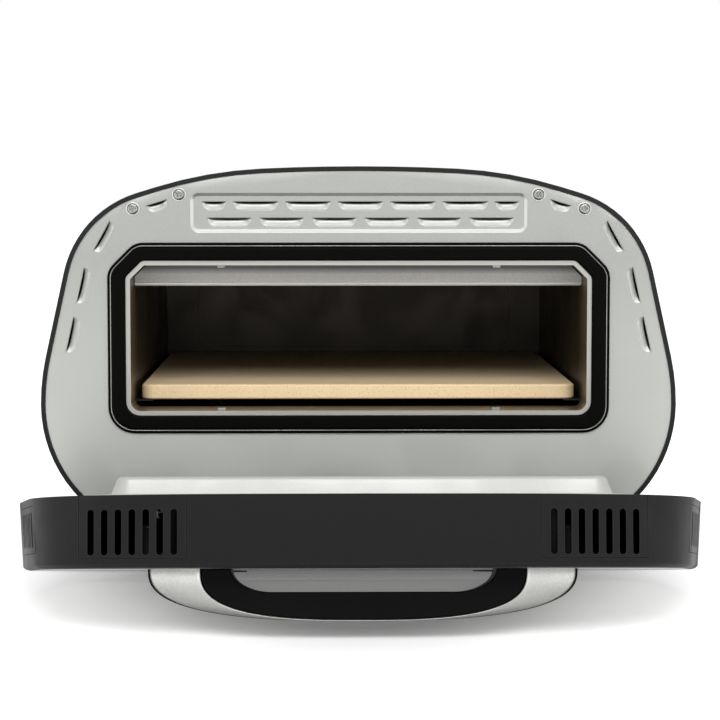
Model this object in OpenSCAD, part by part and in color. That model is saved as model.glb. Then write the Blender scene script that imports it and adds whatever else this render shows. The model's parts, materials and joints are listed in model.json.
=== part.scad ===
// Electric pizza maker: a domed countertop oven whose full front is a drop-down door.
// Millimetres, +Z up, the front faces -Y. The origin is on the worktop, under the middle
// of the oven's box with its door open, which is how it rests.

/* [Body outline] */
// Height of the feet, from the worktop to the underside of the body
foot_h = 28; // [24:1:36]
// Width of the body at its widest
body_w = 479.2; // [465:0.2:500]
// Height of the body without its feet
body_h = 280.9; // [274:0.1:292]
// Depth of the space between the cavity's rear wall and the rear cover's outside
service_d = 40; // [34:1:60]
// Radius of the nearly flat crown
crown_r = 1550; // [1400:50:1900]
// Angle through which the crown turns on each side
crown_turn = 2.7; // [2:0.1:3]
// Radius where the crown bends down to the roof slope
brow_r = 320; // [290:5:340]
// Slope of the straight roof beside the crown
roof_slope = 17.1; // [16:0.1:18]
// Radius of the shoulder
shoulder_r = 80.4; // [70:0.2:88]
// Lean of the straight side from upright
side_lean = 12.6; // [11:0.1:14]
// Radius of the flank above the widest height
flank_r = 167; // [150:1:180]
// Radius of the lower corner
belly_r = 101.5; // [95:0.5:108]

/* [Sheet metal] */
// Wall of the outer shell
shell_t = 1.2; // [0.8:0.1:1.6]
// Width of the rolled hem on the shell's front edge
hem_w = 3.2; // [2.4:0.1:3.4]
// Depth of that hem
hem_d = 8; // [6:0.5:12]
// Height of the hem in front of the front panel
hem_proud = 1; // [0.6:0.1:1.6]
// Width of the seat behind the front panel's edge
seat_w = 5; // [4:0.5:6]
// Wall of the front panel, the liner, the rear cover and the base pan
panel_t = 1.2; // [0.8:0.1:1.6]
// Gap round a panel that sits inside another piece
fit_gap = 0.3; // [0.2:0.05:0.5]
// Half width of the opening in the shell's underside
floor_half = 90; // [80:1:94]

/* [Oven mouth] */
// Width of the mouth between the liner's walls
mouth_w = 343.6; // [330:0.2:348]
// Height of the mouth
mouth_h = 109.7; // [100:0.1:114]
// Height of the mouth's sill above the worktop
mouth_z = 125.1; // [122:0.1:130]
// Chamfer of the mouth's upper corners
mouth_cut = 10.3; // [9:0.1:14]
// Radius of the mouth's lower corners
mouth_r = 7; // [5:0.5:9]
// Width of the liner's front flange
flange_w = 3.4; // [2.6:0.1:4]
// Width of the seal round the flange
seal_w = 13.6; // [11:0.1:15]
// Height of the seal above the front panel
seal_h = 3.7; // [3:0.1:4.4]
// Chamfer of the seal's upper corners
seal_cut = 20.6; // [18:0.2:24]
// Radius that rounds each end of that chamfer
seal_cut_r = 15; // [13:0.5:16]
// Width of the seal's retaining wire
wire_w = 0.8; // [0.6:0.1:1]
// Distance of that wire from the seal's outer edge
wire_in = 2; // [1.5:0.1:2.4]
// Radius of the seal's lower corners
seal_r = 20; // [16:1:22]

/* [Oven cavity] */
// Depth of the cavity behind the front panel
cavity_d = 390; // [370:1:394]
// Drop of the cavity floor below the mouth's sill
floor_drop = 16.8; // [14:0.1:18]
// Rise of the cavity roof above the mouth
roof_rise = 21.6; // [19:0.1:23]
// Depth of the liner's neck behind the front panel
neck_d = 12; // [10:0.5:14]
// Depth of the sill below the mouth, before the cavity floor drops
sill_d = 34; // [28:1:36]
// Width of the panel pressed into the rear wall
boss_w = 287; // [270:1:300]
// Height of that panel
boss_h = 80.5; // [74:0.5:86]
// Depth of that panel
boss_d = 3; // [2:0.5:5]
// Air between the baking stone and each side wall
stone_gap = 4.6; // [3.5:0.1:10]
// Radius of the stone's corners
stone_r = 6; // [4:0.5:9]
// Radius of the cavity's long corners
cavity_r = 6; // [4:0.5:8]
// Thickness of the baking stone
stone_t = 11.5; // [9:0.5:13]
// Setback of the stone behind the front panel
stone_y = 37; // [34:1:40]
// Height of the stone's underside above the cavity floor
stone_lift = 21.9; // [20:0.1:23]
// Setback of the heat deflector's lower edge
deflector_y = 35; // [32:1:38]
// Drop of that edge below the mouth's top
deflector_drop = 17; // [14:0.5:20]
// Diameter of the tubular heating elements
element_dia = 6.5; // [6:0.5:8]
// Spacing of the elements' legs
element_pitch = 75; // [70:1:77]
// Air between the elements' bends and what lies before and behind them
element_gap = 4.5; // [3.5:0.5:8]
// Thickness of the insulation blanket
blanket_t = 12; // [8:1:13]

/* [Front panel vents] */
// Width of the recessed vent field
field_w = 252; // [246:1:258]
// Height of the vent field
field_h = 28.9; // [27:0.1:30]
// Height of the vent field's middle above the mouth's top
field_rise = 39.35; // [38:0.05:41]
// Depth of the vent field
field_d = 2.5; // [1.5:0.1:3.5]
// Length of a long louvre
louvre_l = 33; // [30:0.5:34]
// Length of the short louvre at each end of the upper row
louvre_short = 17.7; // [14:0.1:19]
// Height of a louvre
louvre_h = 6.8; // [6:0.1:7.2]
// Depth to which a louvre's lip is pressed in
louvre_d = 3.4; // [2.8:0.1:4]
// Height of the open slit above a louvre's lip
slit_h = 1.1; // [0.8:0.1:1.6]
// Pitch of the louvres
louvre_pitch = 39.4; // [37:0.1:40]
// Distance of the corner louvres from the body's edge
corner_in = 12.6; // [11:0.1:14]
// Distance of the side louvres from the body's edge
vent_in = 15; // [13:0.1:17]
// Distance of the front panel's screws from the body's edge
screw_in = 10.4; // [9:0.1:12]
// Distance between the two screws of a corner
screw_span = 36.2; // [33:0.2:40]

/* [Door] */
// Height of the hinge axis above the worktop
hinge_z = 50; // [49:0.5:52]
// Gap between the front panel and the closed door's rim
door_gap = 6.5; // [6.5:0.1:7.5]
// Distance of the hinge axis in front of the door's rim plane
hinge_set = 2.3; // [2.2:0.1:2.6]
// Angle to which the door opens, where it rests
door_open = 79.7; // [78:0.1:81]
// Thickness of the door
door_t = 47.4; // [44:0.2:48]
// Overhang of the door's rim beyond the body's outline
door_over = 3.4; // [2.6:0.1:4]
// Draft of the frame's sides, from the rim to the front edge
frame_draft = 2.3; // [1.5:0.1:2.6]
// Wall of the door's moulded frame
frame_t = 3; // [2.5:0.1:3.4]
// Radius of the frame's outer edge
frame_r = 5; // [4:0.5:6]
// Width of the frame's front lip
lip_w = 9; // [7:0.5:11]
// Height of the inner panel's flange above the rim plane
pan_step = 2.5; // [2:0.1:2.7]
// Height of the raised middle of the inner panel above the rim plane
pan_h = 15.5; // [12:0.5:18]
// Width of the window in the inner panel
window_w = 256; // [230:1:280]
// Height of that window
window_h = 62; // [50:1:66]
// Thickness of a glass pane
glass_t = 4; // [3:0.5:5]

/* [Door vents] */
// Length of a slot in the vent grilles
slot_l = 29.4; // [26:0.2:31]
// Width of a slot
slot_w = 4.4; // [3.6:0.1:5]
// Pitch of the slots
slot_pitch = 9.15; // [9:0.05:9.6]
// Slots in each grille
slot_n = 7; // [5:1:7]
// Width of the plain border beside the slots
grille_edge = 3.8; // [3:0.1:6]
// Depth of a top grille from the rim plane
grille_d = 41; // [38:0.5:42]
// Distance of a top grille's middle from the body's side
grille_in = 90; // [84:1:96]
// Height of a side grille's middle above the hinge axis
side_grille_z = 158; // [154:1:162]

/* [Handle] */
// Height of the handle's lower side above the hinge axis
handle_z = 193; // [190:1:196]
// Height of the handle from its lower to its upper side
handle_h = 37; // [34:1:40]
// Reach of the handle in front of the door
handle_d = 35.8; // [34:0.2:36]
// Width of the handle's flared lower side
flare_w = 284; // [270:1:290]
// Width of the grip at its upper side
grip_w = 214; // [208:1:220]
// Width of the finger gap
finger_w = 173; // [165:1:180]
// Depth of the finger gap
finger_d = 15.2; // [14:0.2:18]
// Wall of the steel handle shell
handle_t = 1.2; // [1:0.1:1.5]
// Thickness of the handle's black bezel
bezel_t = 2.5; // [2:0.1:3]

/* [Dials] */
// Lateral place of each dial
dial_x = 115; // [108:1:122]
// Height of the dials above the hinge axis
dial_z = 46; // [45:1:50]
// Diameter of a dial
dial_dia = 36; // [32:1:38]
// Height of a dial above its dished well
dial_h = 15.5; // [13:0.5:16.5]
// Diameter of the dished well
well_dia = 62; // [58:1:64]
// Depth of the dished well
well_d = 10.5; // [10:0.5:12]
// Diameter of a dial's shaft
shaft_dia = 6; // [5:0.5:6.5]

/* [Hinge, feet and rear] */
// Lateral place of each hinge
hinge_x = 140; // [130:1:150]
// Diameter of the hinge pins
pin_dia = 6; // [5:0.5:6.5]
// Radial clearance of a turning shaft in its hole
run_gap = 0.05; // [0.03:0.01:0.08]
// Diameter of a foot at its top
foot_dia = 34; // [30:1:36]
// Lateral place of the feet
foot_x = 111; // [108:1:113]
// Distance of the feet from the front and the rear edge of the body
foot_y = 42; // [36:1:60]
// Height of the rear spacers
spacer_h = 8; // [6:1:10]
// Diameter of the cord hole in the gland
cord_dia = 7.2; // [6.6:0.1:7.6]
// Lateral place of the cord gland
gland_x = 150; // [140:1:155]
// Height of the cord gland above the worktop
gland_z = 78; // [74:1:84]

/* [Hidden] */
$fn = 48;
eps = 1;

// The body's outline: tangent arcs and two straights, from the crown down to the underside.
body_top = foot_h + body_h;
side_turn = 90 - side_lean;
arcs_run = crown_r * sin(crown_turn) + shoulder_r * (sin(side_turn) - sin(roof_slope))
    + flank_r * (1 - sin(side_turn));
arcs_drop = crown_r * (1 - cos(crown_turn)) + shoulder_r * (cos(roof_slope) - cos(side_turn))
    + flank_r * cos(side_turn) + belly_r;
brow_run = sin(roof_slope) - sin(crown_turn);
brow_drop = cos(crown_turn) - cos(roof_slope);
// The brow's bend is no wider than leaves the straight roof beside it this long.
roof_least = 2;
brow_room = ((body_w / 2 - arcs_run) * sin(side_turn) - (body_h - arcs_drop) * cos(side_turn)
    - roof_least * sin(side_turn - roof_slope)) / (brow_run * sin(side_turn) - brow_drop * cos(side_turn));
brow_bend = min(brow_r, brow_room);
run_left = body_w / 2 - arcs_run - brow_bend * brow_run;
drop_left = body_h - arcs_drop - brow_bend * brow_drop;
roof_l = (run_left * sin(side_turn) - drop_left * cos(side_turn)) / sin(side_turn - roof_slope);
side_l = (drop_left * cos(roof_slope) - run_left * sin(roof_slope)) / sin(side_turn - roof_slope);
crown_c = [0, body_top - crown_r];
brow_c = crown_c + (crown_r - brow_bend) * heading(crown_turn);
shoulder_c = brow_c + (brow_bend - shoulder_r) * heading(roof_slope) + roof_l * along(roof_slope);
flank_c = shoulder_c + (shoulder_r - flank_r) * heading(side_turn) + side_l * along(side_turn);
belly_c = flank_c + (flank_r - belly_r) * heading(90);

// Depths and heights that several pieces share.
body_d = cavity_d + service_d;
hinge_back = door_gap + hinge_set;
rim_y = hinge_set;
face_y = hinge_set - door_t;
door_reach = (body_top + door_over - hinge_z) * sin(door_open) - face_y * cos(door_open);
front_y = (hinge_back + door_reach - body_d - spacer_h) / 2;
hinge_y = front_y - hinge_back;
mouth_top = mouth_z + mouth_h;
floor_z = mouth_z - floor_drop;
roof_z = mouth_top + roof_rise;
liner_half = mouth_w / 2 + panel_t;
stone_w = mouth_w - 2 * stone_gap;
stone_z = floor_z + stone_lift;
field_z = mouth_top + field_rise;
seat_y = panel_t;
pan_z = foot_h + shell_t;
blanket_half = liner_half + blanket_t;
blanket_top = roof_z + panel_t + blanket_t;
element_r = element_dia / 2;
element_bend = element_pitch / 2 + element_r + element_gap;
element_front = sill_d + element_bend;
element_rear = cavity_d - element_bend;
element_out = cavity_d + 16;
upper_element_z = roof_z - 13;
lower_element_z = floor_z + 9;
clip_places = [element_front + 40, element_rear - 40];
cradle_places = [70, cavity_d - 70];
// The temperature probe stands this far in from the liner's side wall.
probe_in = 21.8;
probe_x = mouth_w / 2 - probe_in;
// The liner's front flange and its holes for the bushings.
flange_y = 1;
bushing_neck_r = element_r + 2;
// How much a 45 degree chamfer grows as its outline moves out by one.
chamfer_gain = 2 - sqrt(2);
// Height of the seal's foot, which carries the retaining wire.
seal_base = 2;
// The middle of a corner's two screws lies this far up the roof from where the shoulder starts.
corner_back = 10.4;
screw_runs = [-corner_back - screw_span / 2, -corner_back + screw_span / 2];
screw_places = [for (s = [-1, 1], run = screw_runs)
    mirrored(s, beside(shoulder_c, shoulder_r, roof_slope, run, screw_in))];
screw_head = 8;
screw_shank = 3.4;
screw_boss_r = 6;
// Points of the outline beside which the rear cover's screws sit.
cover_marks = [7, 20, 33, 42];
cover_in = 8;
cover_screw_head = 6.5;
cover_screw_shank = 2.6;
// Height of each row of louvres above or below the field's middle, and the corner radii of the field.
row_z = 6.4;
field_r = 6;
field_slope = 0.7;
louvre_skin = 0.8;
window_z = mouth_z - hinge_z + mouth_h / 2;
pan_lo = mouth_z - hinge_z + 2.5;
pan_hi = mouth_top - hinge_z - 4.5;
pan_half = mouth_w / 2 - 1;
pan_draft = 5;
grille_x = body_w / 2 - grille_in;
grille_half = slot_pitch * slot_n / 2 + grille_edge;
pane_margin = 8;
inner_glass_y = rim_y + pan_h - panel_t;
outer_glass_y = face_y + panel_t + glass_t;
well_y = face_y + well_d;
control_d = 18;
// How far the base pan lies over the shell's underside, and its setbacks at the front and rear.
pan_lap = 26;
pan_front = 10;
pan_rear = 20;
// The pitch of the base pan's slots, and their size.
pan_slot_pitch = 26;
pan_slot_w = 5;
pan_slot_l = 36;
// The liner's cradles: their folded feet, and their reach past the opening in the shell.
cradle_foot = 14;
cradle_over = 15;
// Depth of the slots' middle behind the rim, and the side grilles' reach behind it.
slot_y = 24;
side_grille_lo = 37;
side_grille_d = 32;
// The handle's posts: their lateral place, how far both sit to the left, and their height.
post_x = 137.5;
post_shift = 3.5;
post_h = 26;
// Pitch of the rear vents and lateral place of the rear spacers.
vent_pitch = 12;
spacer_x = 130;
knuckle_gap = 0.4;
knuckle_w = 14;
ear_t = 3;
ear_r = 5.6;
heel_r = hinge_back - 0.35;

// Direction square to the outline where it has turned by a, and the direction along it.
function heading(a) = [sin(a), cos(a)];
function along(a) = [cos(a), -sin(a)];

// A place beside the outline: in from the arc c, r where it has turned by a, then on by run.
function beside(c, r, a, run, inset) = c + (r - inset) * heading(a) + run * along(a);
function mirrored(s, p) = [s * p.x, p.y];

// Points on an arc of the outline from turn a0 to turn a1, leaving out the first when asked.
function bend(c, r, a0, a1, n, first = 0) = [for (i = [first:n]) c + r * heading(a0 + (a1 - a0) * i / n)];

// The right half of the outline, moved inward by inset, from the crown to the underside.
function half_outline(inset) = concat(
    bend(crown_c, crown_r - inset, 0, crown_turn, 3),
    bend(brow_c, brow_bend - inset, crown_turn, roof_slope, 4, 1),
    bend(shoulder_c, shoulder_r - inset, roof_slope, side_turn, 12),
    bend(flank_c, flank_r - inset, side_turn, 90, 3),
    bend(belly_c, belly_r - inset, 90, 180, 18, 1));

// The right half of the door's outline, measured from the hinge axis.
function half_door(inset) =
    let (bottom = hinge_z + inset, r = belly_r + door_over - inset)
    concat([for (p = half_outline(inset - door_over)) if (p.y > bottom + 2) [p.x, p.y - hinge_z]],
        [[belly_c.x + sqrt(r * r - (bottom - belly_c.y) ^ 2), inset]]);

// Both halves of an outline whose first point is on the centre line.
function both(half) = concat(half, [for (i = [len(half) - 1:-1:1]) [-half[i].x, half[i].y]]);

function unit(v) = v / norm(v);

// Points of the rounded corner at b between a and c.
function corner(a, b, c, r) = r <= 0 ? [b] :
    let (u = unit(a - b), w = unit(c - b), h = acos(u * w) / 2, m = b + unit(u + w) * r / sin(h),
        s = b + u * r / tan(h) - m, e = b + w * r / tan(h) - m, a0 = atan2(s.y, s.x),
        turn = (atan2(e.y, e.x) - a0 + 540) % 360 - 180, n = ceil(abs(turn) / 10))
    [for (i = [0:n]) m + r * [cos(a0 + turn * i / n), sin(a0 + turn * i / n)]];

// A polygon's points with each corner rounded by its own radius.
function rounded(v, r) = [for (i = [0:len(v) - 1])
    each corner(v[(i + len(v) - 1) % len(v)], v[i], v[(i + 1) % len(v)], r[i])];

// A rounded rectangle between two heights.
function plate(half, lo, hi, r) = rounded([[-half, lo], [half, lo], [half, hi], [-half, hi]], [r, r, r, r]);

// The mouth's shape: a rectangle with rounded lower and chamfered upper corners.
function mouth(half, lo, hi, cut, r_low, r_cut) = rounded(
    [[-half, lo], [half, lo], [half, hi - cut], [half - cut, hi], [cut - half, hi], [-half, hi - cut]],
    [r_low, r_low, r_cut, r_cut, r_cut, r_cut]);

// The right half of a flattened oval, as a handle's section: its width a and its reach b.
function oval(a, b, n) = [for (i = [0:32]) let (t = 180 * i / 32)
    [a * sign(cos(t)) * pow(abs(cos(t)), 2 / n), -b * pow(sin(t), 2 / n)]];

// A profile in X and Z made solid between two depths behind the front panel.
module slab(y0, y1) {
    translate([0, front_y + y1, 0]) rotate([90, 0, 0]) linear_extrude(y1 - y0) children();
}

// The same between two depths of the door, whose own origin is on the hinge axis.
module door_slab(y0, y1) {
    translate([0, y1, 0]) rotate([90, 0, 0]) linear_extrude(y1 - y0) children();
}

// Puts what is drawn for the closed door where the open door has it.
module on_door() {
    translate([0, hinge_y, hinge_z]) rotate([door_open, 0, 0]) children();
}

module body_ring(outer, inner) {
    difference() {
        polygon(both(half_outline(outer)));
        polygon(both(half_outline(inner)));
    }
}

module mouth_shape(grow) {
    polygon(mouth(mouth_w / 2 + grow, mouth_z - grow, mouth_top + grow, mouth_cut + grow * chamfer_gain,
        mouth_r + grow, 2 + grow));
}

module seal_shape(inset) {
    grow = flange_w + seal_w - inset;
    polygon(mouth(mouth_w / 2 + grow, mouth_z - grow, mouth_top + grow, seal_cut - inset * chamfer_gain,
        seal_r - inset, seal_cut_r - inset));
}

// One louvre's outline: straight where it is slit, round below.
module louvre_outline(l, h) {
    polygon(rounded([[-l / 2, -h / 2], [l / 2, -h / 2], [l / 2, h / 2], [-l / 2, h / 2]],
        [h * 0.8, h * 0.8, 0, 0]));
}

// The space in front of a louvre's slope, which falls back from its lower edge to its slit.
module louvre_space(l, h, skin) {
    intersection() {
        translate([0, louvre_d + 4, 0]) rotate([90, 0, 0]) linear_extrude(louvre_d + 6)
            translate([0, -skin / 2]) louvre_outline(l + 2 * skin, h + skin);
        translate([-l, 0, 0]) rotate([90, 0, 90]) linear_extrude(2 * l)
            polygon([[-1.5, -h], [skin * 1.2, -h], [skin * 1.2, -h / 2], [louvre_d + skin * 1.2, h / 2],
                [louvre_d + skin * 1.2, h], [-1.5, h]]);
    }
}

// A louvre beside the outline on each side, turned by its own angle.
function edge_louvre(p, l, turn) = [for (s = [-1, 1]) [s * p.x, p.y, l, s * turn, 0]];

// Places of the louvres: X, Z, length, turn and depth of the sheet that each is pressed into.
louvres = concat(
    [for (i = [-2:2]) [i * louvre_pitch, field_z + row_z, louvre_l, 0, field_d]],
    [for (s = [-1, 1]) [s * 2.79 * louvre_pitch, field_z + row_z, louvre_short, 0, field_d]],
    [for (i = [-2.5:2.5]) [i * louvre_pitch, field_z - row_z, louvre_l, 0, field_d]],
    edge_louvre(beside(shoulder_c, shoulder_r, roof_slope, -corner_back, corner_in), 16, roof_slope),
    edge_louvre(beside(shoulder_c, shoulder_r, 47.6, 0, corner_in), 26, 61),
    edge_louvre(beside(flank_c, flank_r, side_turn, -59.6, vent_in), 28, side_turn),
    edge_louvre(beside(flank_c, flank_r, side_turn, -21.6, vent_in), 28, side_turn));

module at_louvre(p) {
    translate([p[0], front_y + p[4], p[1]]) rotate([0, p[3], 0]) children();
}

// The vent field's recess, whose sides slope in towards its floor.
module field_space(skin) {
    lo = field_z - field_h / 2 - skin;
    hi = field_z + field_h / 2 + skin;
    half = field_w / 2 + skin;
    slope = field_d * field_slope;
    hull() {
        slab(-0.01, 0) polygon(plate(half, lo, hi, field_r + skin));
        slab(field_d + skin - 0.01, field_d + skin) polygon(plate(half - slope, lo + slope, hi - slope, field_r - 1));
    }
}

module outer_shell() {
    color("#2b2b2d") difference() {
        union() {
            slab(-hem_proud, body_d) body_ring(0, shell_t);
            slab(-hem_proud, hem_d) body_ring(0.01, hem_w);
            slab(seat_y, seat_y + shell_t) body_ring(shell_t / 2, hem_w + seat_w);
            for (p = screw_places) slab(seat_y, seat_y + shell_t) translate(p) circle(screw_boss_r);
            slab(body_d - panel_t - shell_t, body_d - panel_t) body_ring(shell_t / 2, cover_in + 5);
        }
        translate([-floor_half, front_y + 14, foot_h - eps]) cube([2 * floor_half, body_d - 28, shell_t + 2 * eps]);
        for (p = screw_places) slab(seat_y - eps, 5) translate(p) circle(d = screw_shank + 0.2);
        for (p = louvres) if (p[4] == 0) at_louvre(p) translate([-p[2] / 2 - 1.2, seat_y, -louvre_h / 2 - 1.2])
            cube([p[2] + 2.4, 3, louvre_h + 1.6]);
        at_cover_screws() rotate([90, 0, 0]) cylinder(d = cover_screw_shank, h = 10, center = true);
    }
}

module at_cover_screws() {
    for (s = [-1, 1], k = cover_marks) {
        p = half_outline(cover_in)[k];
        translate([s * p.x, front_y + body_d, p.y]) children();
    }
}

module front_panel() {
    color("#c9cbc8") {
        difference() {
            slab(0, panel_t) polygon(both(half_outline(hem_w + fit_gap)));
            slab(-eps, panel_t + eps) mouth_shape(panel_t + fit_gap);
            slab(-eps, panel_t + eps) polygon(plate(field_w / 2, field_z - field_h / 2, field_z + field_h / 2,
                field_r));
            for (p = louvres) if (p[4] == 0) at_louvre(p) louvre_space(p[2], louvre_h, 0);
            for (p = screw_places) slab(-eps, panel_t + eps) translate(p) circle(d = screw_shank + 0.8);
            for (s = [-1, 1], e = [-1, 1]) slab(-eps, panel_t + eps)
                translate([s * hinge_x + e * (knuckle_w / 2 + knuckle_gap + ear_t / 2), hinge_z])
                    square([ear_t + 2 * fit_gap, 2 * ear_r + 2 * fit_gap], center = true);
        }
        difference() {
            field_space(panel_t);
            field_space(0);
            for (p = louvres) if (p[4] > 0) at_louvre(p) louvre_space(p[2], louvre_h, 0);
        }
        for (p = louvres) at_louvre(p) difference() {
            intersection() {
                louvre_space(p[2], louvre_h, louvre_skin);
                translate([-louvre_l, panel_t / 2, -2 * louvre_h])
                    cube([2 * louvre_l, 3 * louvre_d, 2.5 * louvre_h - slit_h]);
            }
            louvre_space(p[2], louvre_h, 0);
        }
    }
}

// A pan-head screw with a cross recess, its head's seat at the origin and its head towards -Y.
module screw(head_dia, shank_dia, l) {
    rotate([90, 0, 0]) difference() {
        union() {
            cylinder(d1 = head_dia, d2 = head_dia * 0.7, h = head_dia * 0.26);
            translate([0, 0, -l]) cylinder(d = shank_dia, h = l + 0.1);
        }
        for (a = [0, 90]) rotate([0, 0, a]) translate([-head_dia * 0.27, -head_dia * 0.06, head_dia * 0.12])
            cube([head_dia * 0.54, head_dia * 0.12, head_dia]);
    }
}

module front_panel_screws() {
    color("silver") for (p = screw_places) translate([p.x, front_y, p.y]) screw(screw_head, screw_shank, 8);
}

module door_seal() {
    bead_in = wire_in + wire_w + 0.2;
    color("#1a1a1b") difference() {
        union() {
            slab(-seal_base, 0) seal_shape(0);
            slab(-seal_h + 0.6, 0) seal_shape(bead_in);
            slab(-seal_h, 0) seal_shape(bead_in + 1);
        }
        slab(-seal_h - eps, eps) mouth_shape(flange_w + 0.1);
        slab(-seal_h - eps, 0.6 - seal_h) mouth_shape(flange_w + 1.2);
    }
}

module seal_wire() {
    color("silver") difference() {
        slab(-seal_base - wire_w, -seal_base) seal_shape(wire_in);
        slab(-seal_base - wire_w - eps, 0) seal_shape(wire_in + wire_w);
    }
}

module cavity_liner() {
    color("#5b554c") {
        difference() {
            union() {
                slab(-flange_y, 0) mouth_shape(flange_w);
                slab(-flange_y / 2, neck_d) mouth_shape(panel_t);
                slab(neck_d - panel_t, sill_d) cavity_shape(panel_t, mouth_z);
                slab(sill_d - panel_t, cavity_d + panel_t) cavity_shape(panel_t, floor_z);
            }
            slab(-flange_y - eps, neck_d + eps) mouth_shape(0);
            slab(neck_d, sill_d + eps) cavity_shape(0, mouth_z);
            slab(sill_d, cavity_d) cavity_shape(0, floor_z);
            slab(cavity_d - eps, cavity_d + panel_t + eps) rear_boss(0);
            for (s = [-1, 1], z = [upper_element_z, lower_element_z])
                slab(cavity_d - eps, cavity_d + panel_t + eps)
                    translate([s * element_pitch * 1.5, z]) circle(bushing_neck_r);
            slab(cavity_d - eps, cavity_d + panel_t + eps) translate([probe_x, upper_element_z]) circle(2.5);
        }
        difference() {
            slab(cavity_d, cavity_d + boss_d + panel_t) rear_boss(panel_t);
            slab(cavity_d - eps, cavity_d + boss_d) rear_boss(0);
        }
    }
}

module cavity_shape(grow, lo) {
    polygon(plate(mouth_w / 2 + grow, lo - grow, roof_z + grow, cavity_r + grow));
}

module rear_boss(grow) {
    boss_z = mouth_z + 19.7;
    polygon(plate(boss_w / 2 + grow, boss_z - grow, boss_z + boss_h + grow, 12 + grow));
}

// A sheet that slopes back from the roof to a rolled lower edge, with a flange against the roof.
module heat_deflector() {
    top_y = neck_d + 5;
    low_z = mouth_top - deflector_drop;
    lip_r = 1.8;
    lip_c = [deflector_y + 0.4, low_z + lip_r];
    color("#a9aaa7") intersection() {
        translate([-mouth_w / 2, front_y, 0]) rotate([90, 0, 90]) linear_extrude(mouth_w)
            polygon(concat(
                [[top_y, roof_z], [top_y + 12, roof_z], [top_y + 12, roof_z - panel_t],
                    [top_y + 1.6, roof_z - panel_t]],
                [for (a = [50:-20:-230]) lip_c + lip_r * [cos(a), sin(a)]]));
        slab(0, 2 * deflector_y) polygon(rounded([[0.5 - mouth_w / 2, low_z], [mouth_w / 2 - 0.5, low_z],
            [mouth_w / 2 - 0.5, mouth_top - mouth_cut], [mouth_w / 2 - roof_rise - mouth_cut, roof_z],
            [roof_rise + mouth_cut - mouth_w / 2, roof_z], [0.5 - mouth_w / 2, mouth_top - mouth_cut]],
            [1.5, 1.5, 2, 0, 0, 2]));
    }
}

module baking_stone() {
    edge = 1.2;
    half = stone_w / 2 - stone_r;
    color("#f3d9ad") translate([0, front_y + stone_y + stone_w / 2, stone_z]) hull() {
        for (x = [-half, half], y = [-half, half]) translate([x, y, 0]) {
            translate([0, 0, edge]) cylinder(r = stone_r, h = stone_t - 2 * edge, $fn = 32);
            cylinder(r = stone_r - edge, h = stone_t, $fn = 32);
        }
    }
}

// An angle on the side wall whose shelf reaches under the stone.
module stone_rail(s) {
    shelf = stone_gap + 9;
    color("#8d8a84") translate([0, front_y + stone_y, 0]) mirror([s < 0 ? 1 : 0, 0, 0]) {
        translate([mouth_w / 2 - panel_t, 0, floor_z + cavity_r]) cube([panel_t, stone_w, stone_lift - cavity_r]);
        translate([mouth_w / 2 - shelf, 0, stone_z - panel_t]) cube([shelf, stone_w, panel_t]);
    }
}
module stone_rail_left() { stone_rail(-1); }
module stone_rail_right() { stone_rail(1); }

// A tubular element bent to four legs, its two ends running out through the rear wall.
module element(z) {
    translate([0, front_y, z]) {
        for (i = [-1.5, -0.5, 0.5, 1.5]) {
            last = abs(i) > 1 ? element_out : element_rear;
            translate([i * element_pitch, element_front, 0]) rotate([-90, 0, 0])
                cylinder(r = element_r, h = last - element_front);
        }
        for (s = [-1, 1]) translate([s * element_pitch, element_front, 0]) half_turn(180);
        translate([0, element_rear, 0]) half_turn(0);
    }
}

module half_turn(a) {
    rotate([0, 0, a]) rotate_extrude(angle = 180) translate([element_pitch / 2, 0]) circle(element_r);
}

module upper_element() { color("#6a6a6a") element(upper_element_z); }
module lower_element() { color("#6a6a6a") element(lower_element_z); }

// Saddles that carry an element's legs: a strip on the liner with a round seat under or over each leg.
module clips(z, wall_z) {
    clip_d = 8;
    lo = min(z, wall_z);
    for (y = clip_places, s = [-1, 1]) translate([s * element_pitch * 1.5, front_y + y, 0]) difference() {
        union() {
            translate([-5, -clip_d / 2, lo]) cube([10, clip_d, abs(wall_z - z)]);
            translate([0, clip_d / 2, z]) rotate([90, 0, 0]) cylinder(r = element_r + 1.8, h = clip_d);
        }
        translate([0, clip_d, z]) rotate([90, 0, 0]) cylinder(r = element_r, h = 2 * clip_d);
    }
}
module upper_element_clips() { color("#9a9a96") clips(upper_element_z, roof_z); }
module lower_element_clips() { color("#9a9a96") clips(lower_element_z, floor_z); }

module element_bushings() {
    color("#efe9dc") for (s = [-1, 1], z = [upper_element_z, lower_element_z])
        translate([s * element_pitch * 1.5, front_y + cavity_d + panel_t + 5, z]) rotate([90, 0, 0]) difference() {
            union() {
                cylinder(r = element_r + 3.6, h = 5);
                cylinder(r = bushing_neck_r, h = 5 + panel_t);
            }
            translate([0, 0, -eps]) cylinder(r = element_r, h = 20);
        }
}

module temperature_probe() {
    color("#b9b9b4") translate([probe_x, front_y + cavity_d + panel_t + 6, upper_element_z]) rotate([90, 0, 0]) {
        cylinder(r = 2.5, h = 96);
        cylinder(r = 5, h = 6);
    }
}

module thermal_cutout() {
    color("#d8d2c4") translate([-40, front_y + cavity_d + panel_t + boss_d + panel_t, mouth_z + 60]) rotate([-90, 0, 0]) {
        cylinder(r = 11, h = 1.5);
        cylinder(r = 8, h = 9);
        for (s = [-1, 1]) translate([s * 3.5 - 0.4, -3, 8]) cube([0.8, 6, 8]);
    }
}

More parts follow.
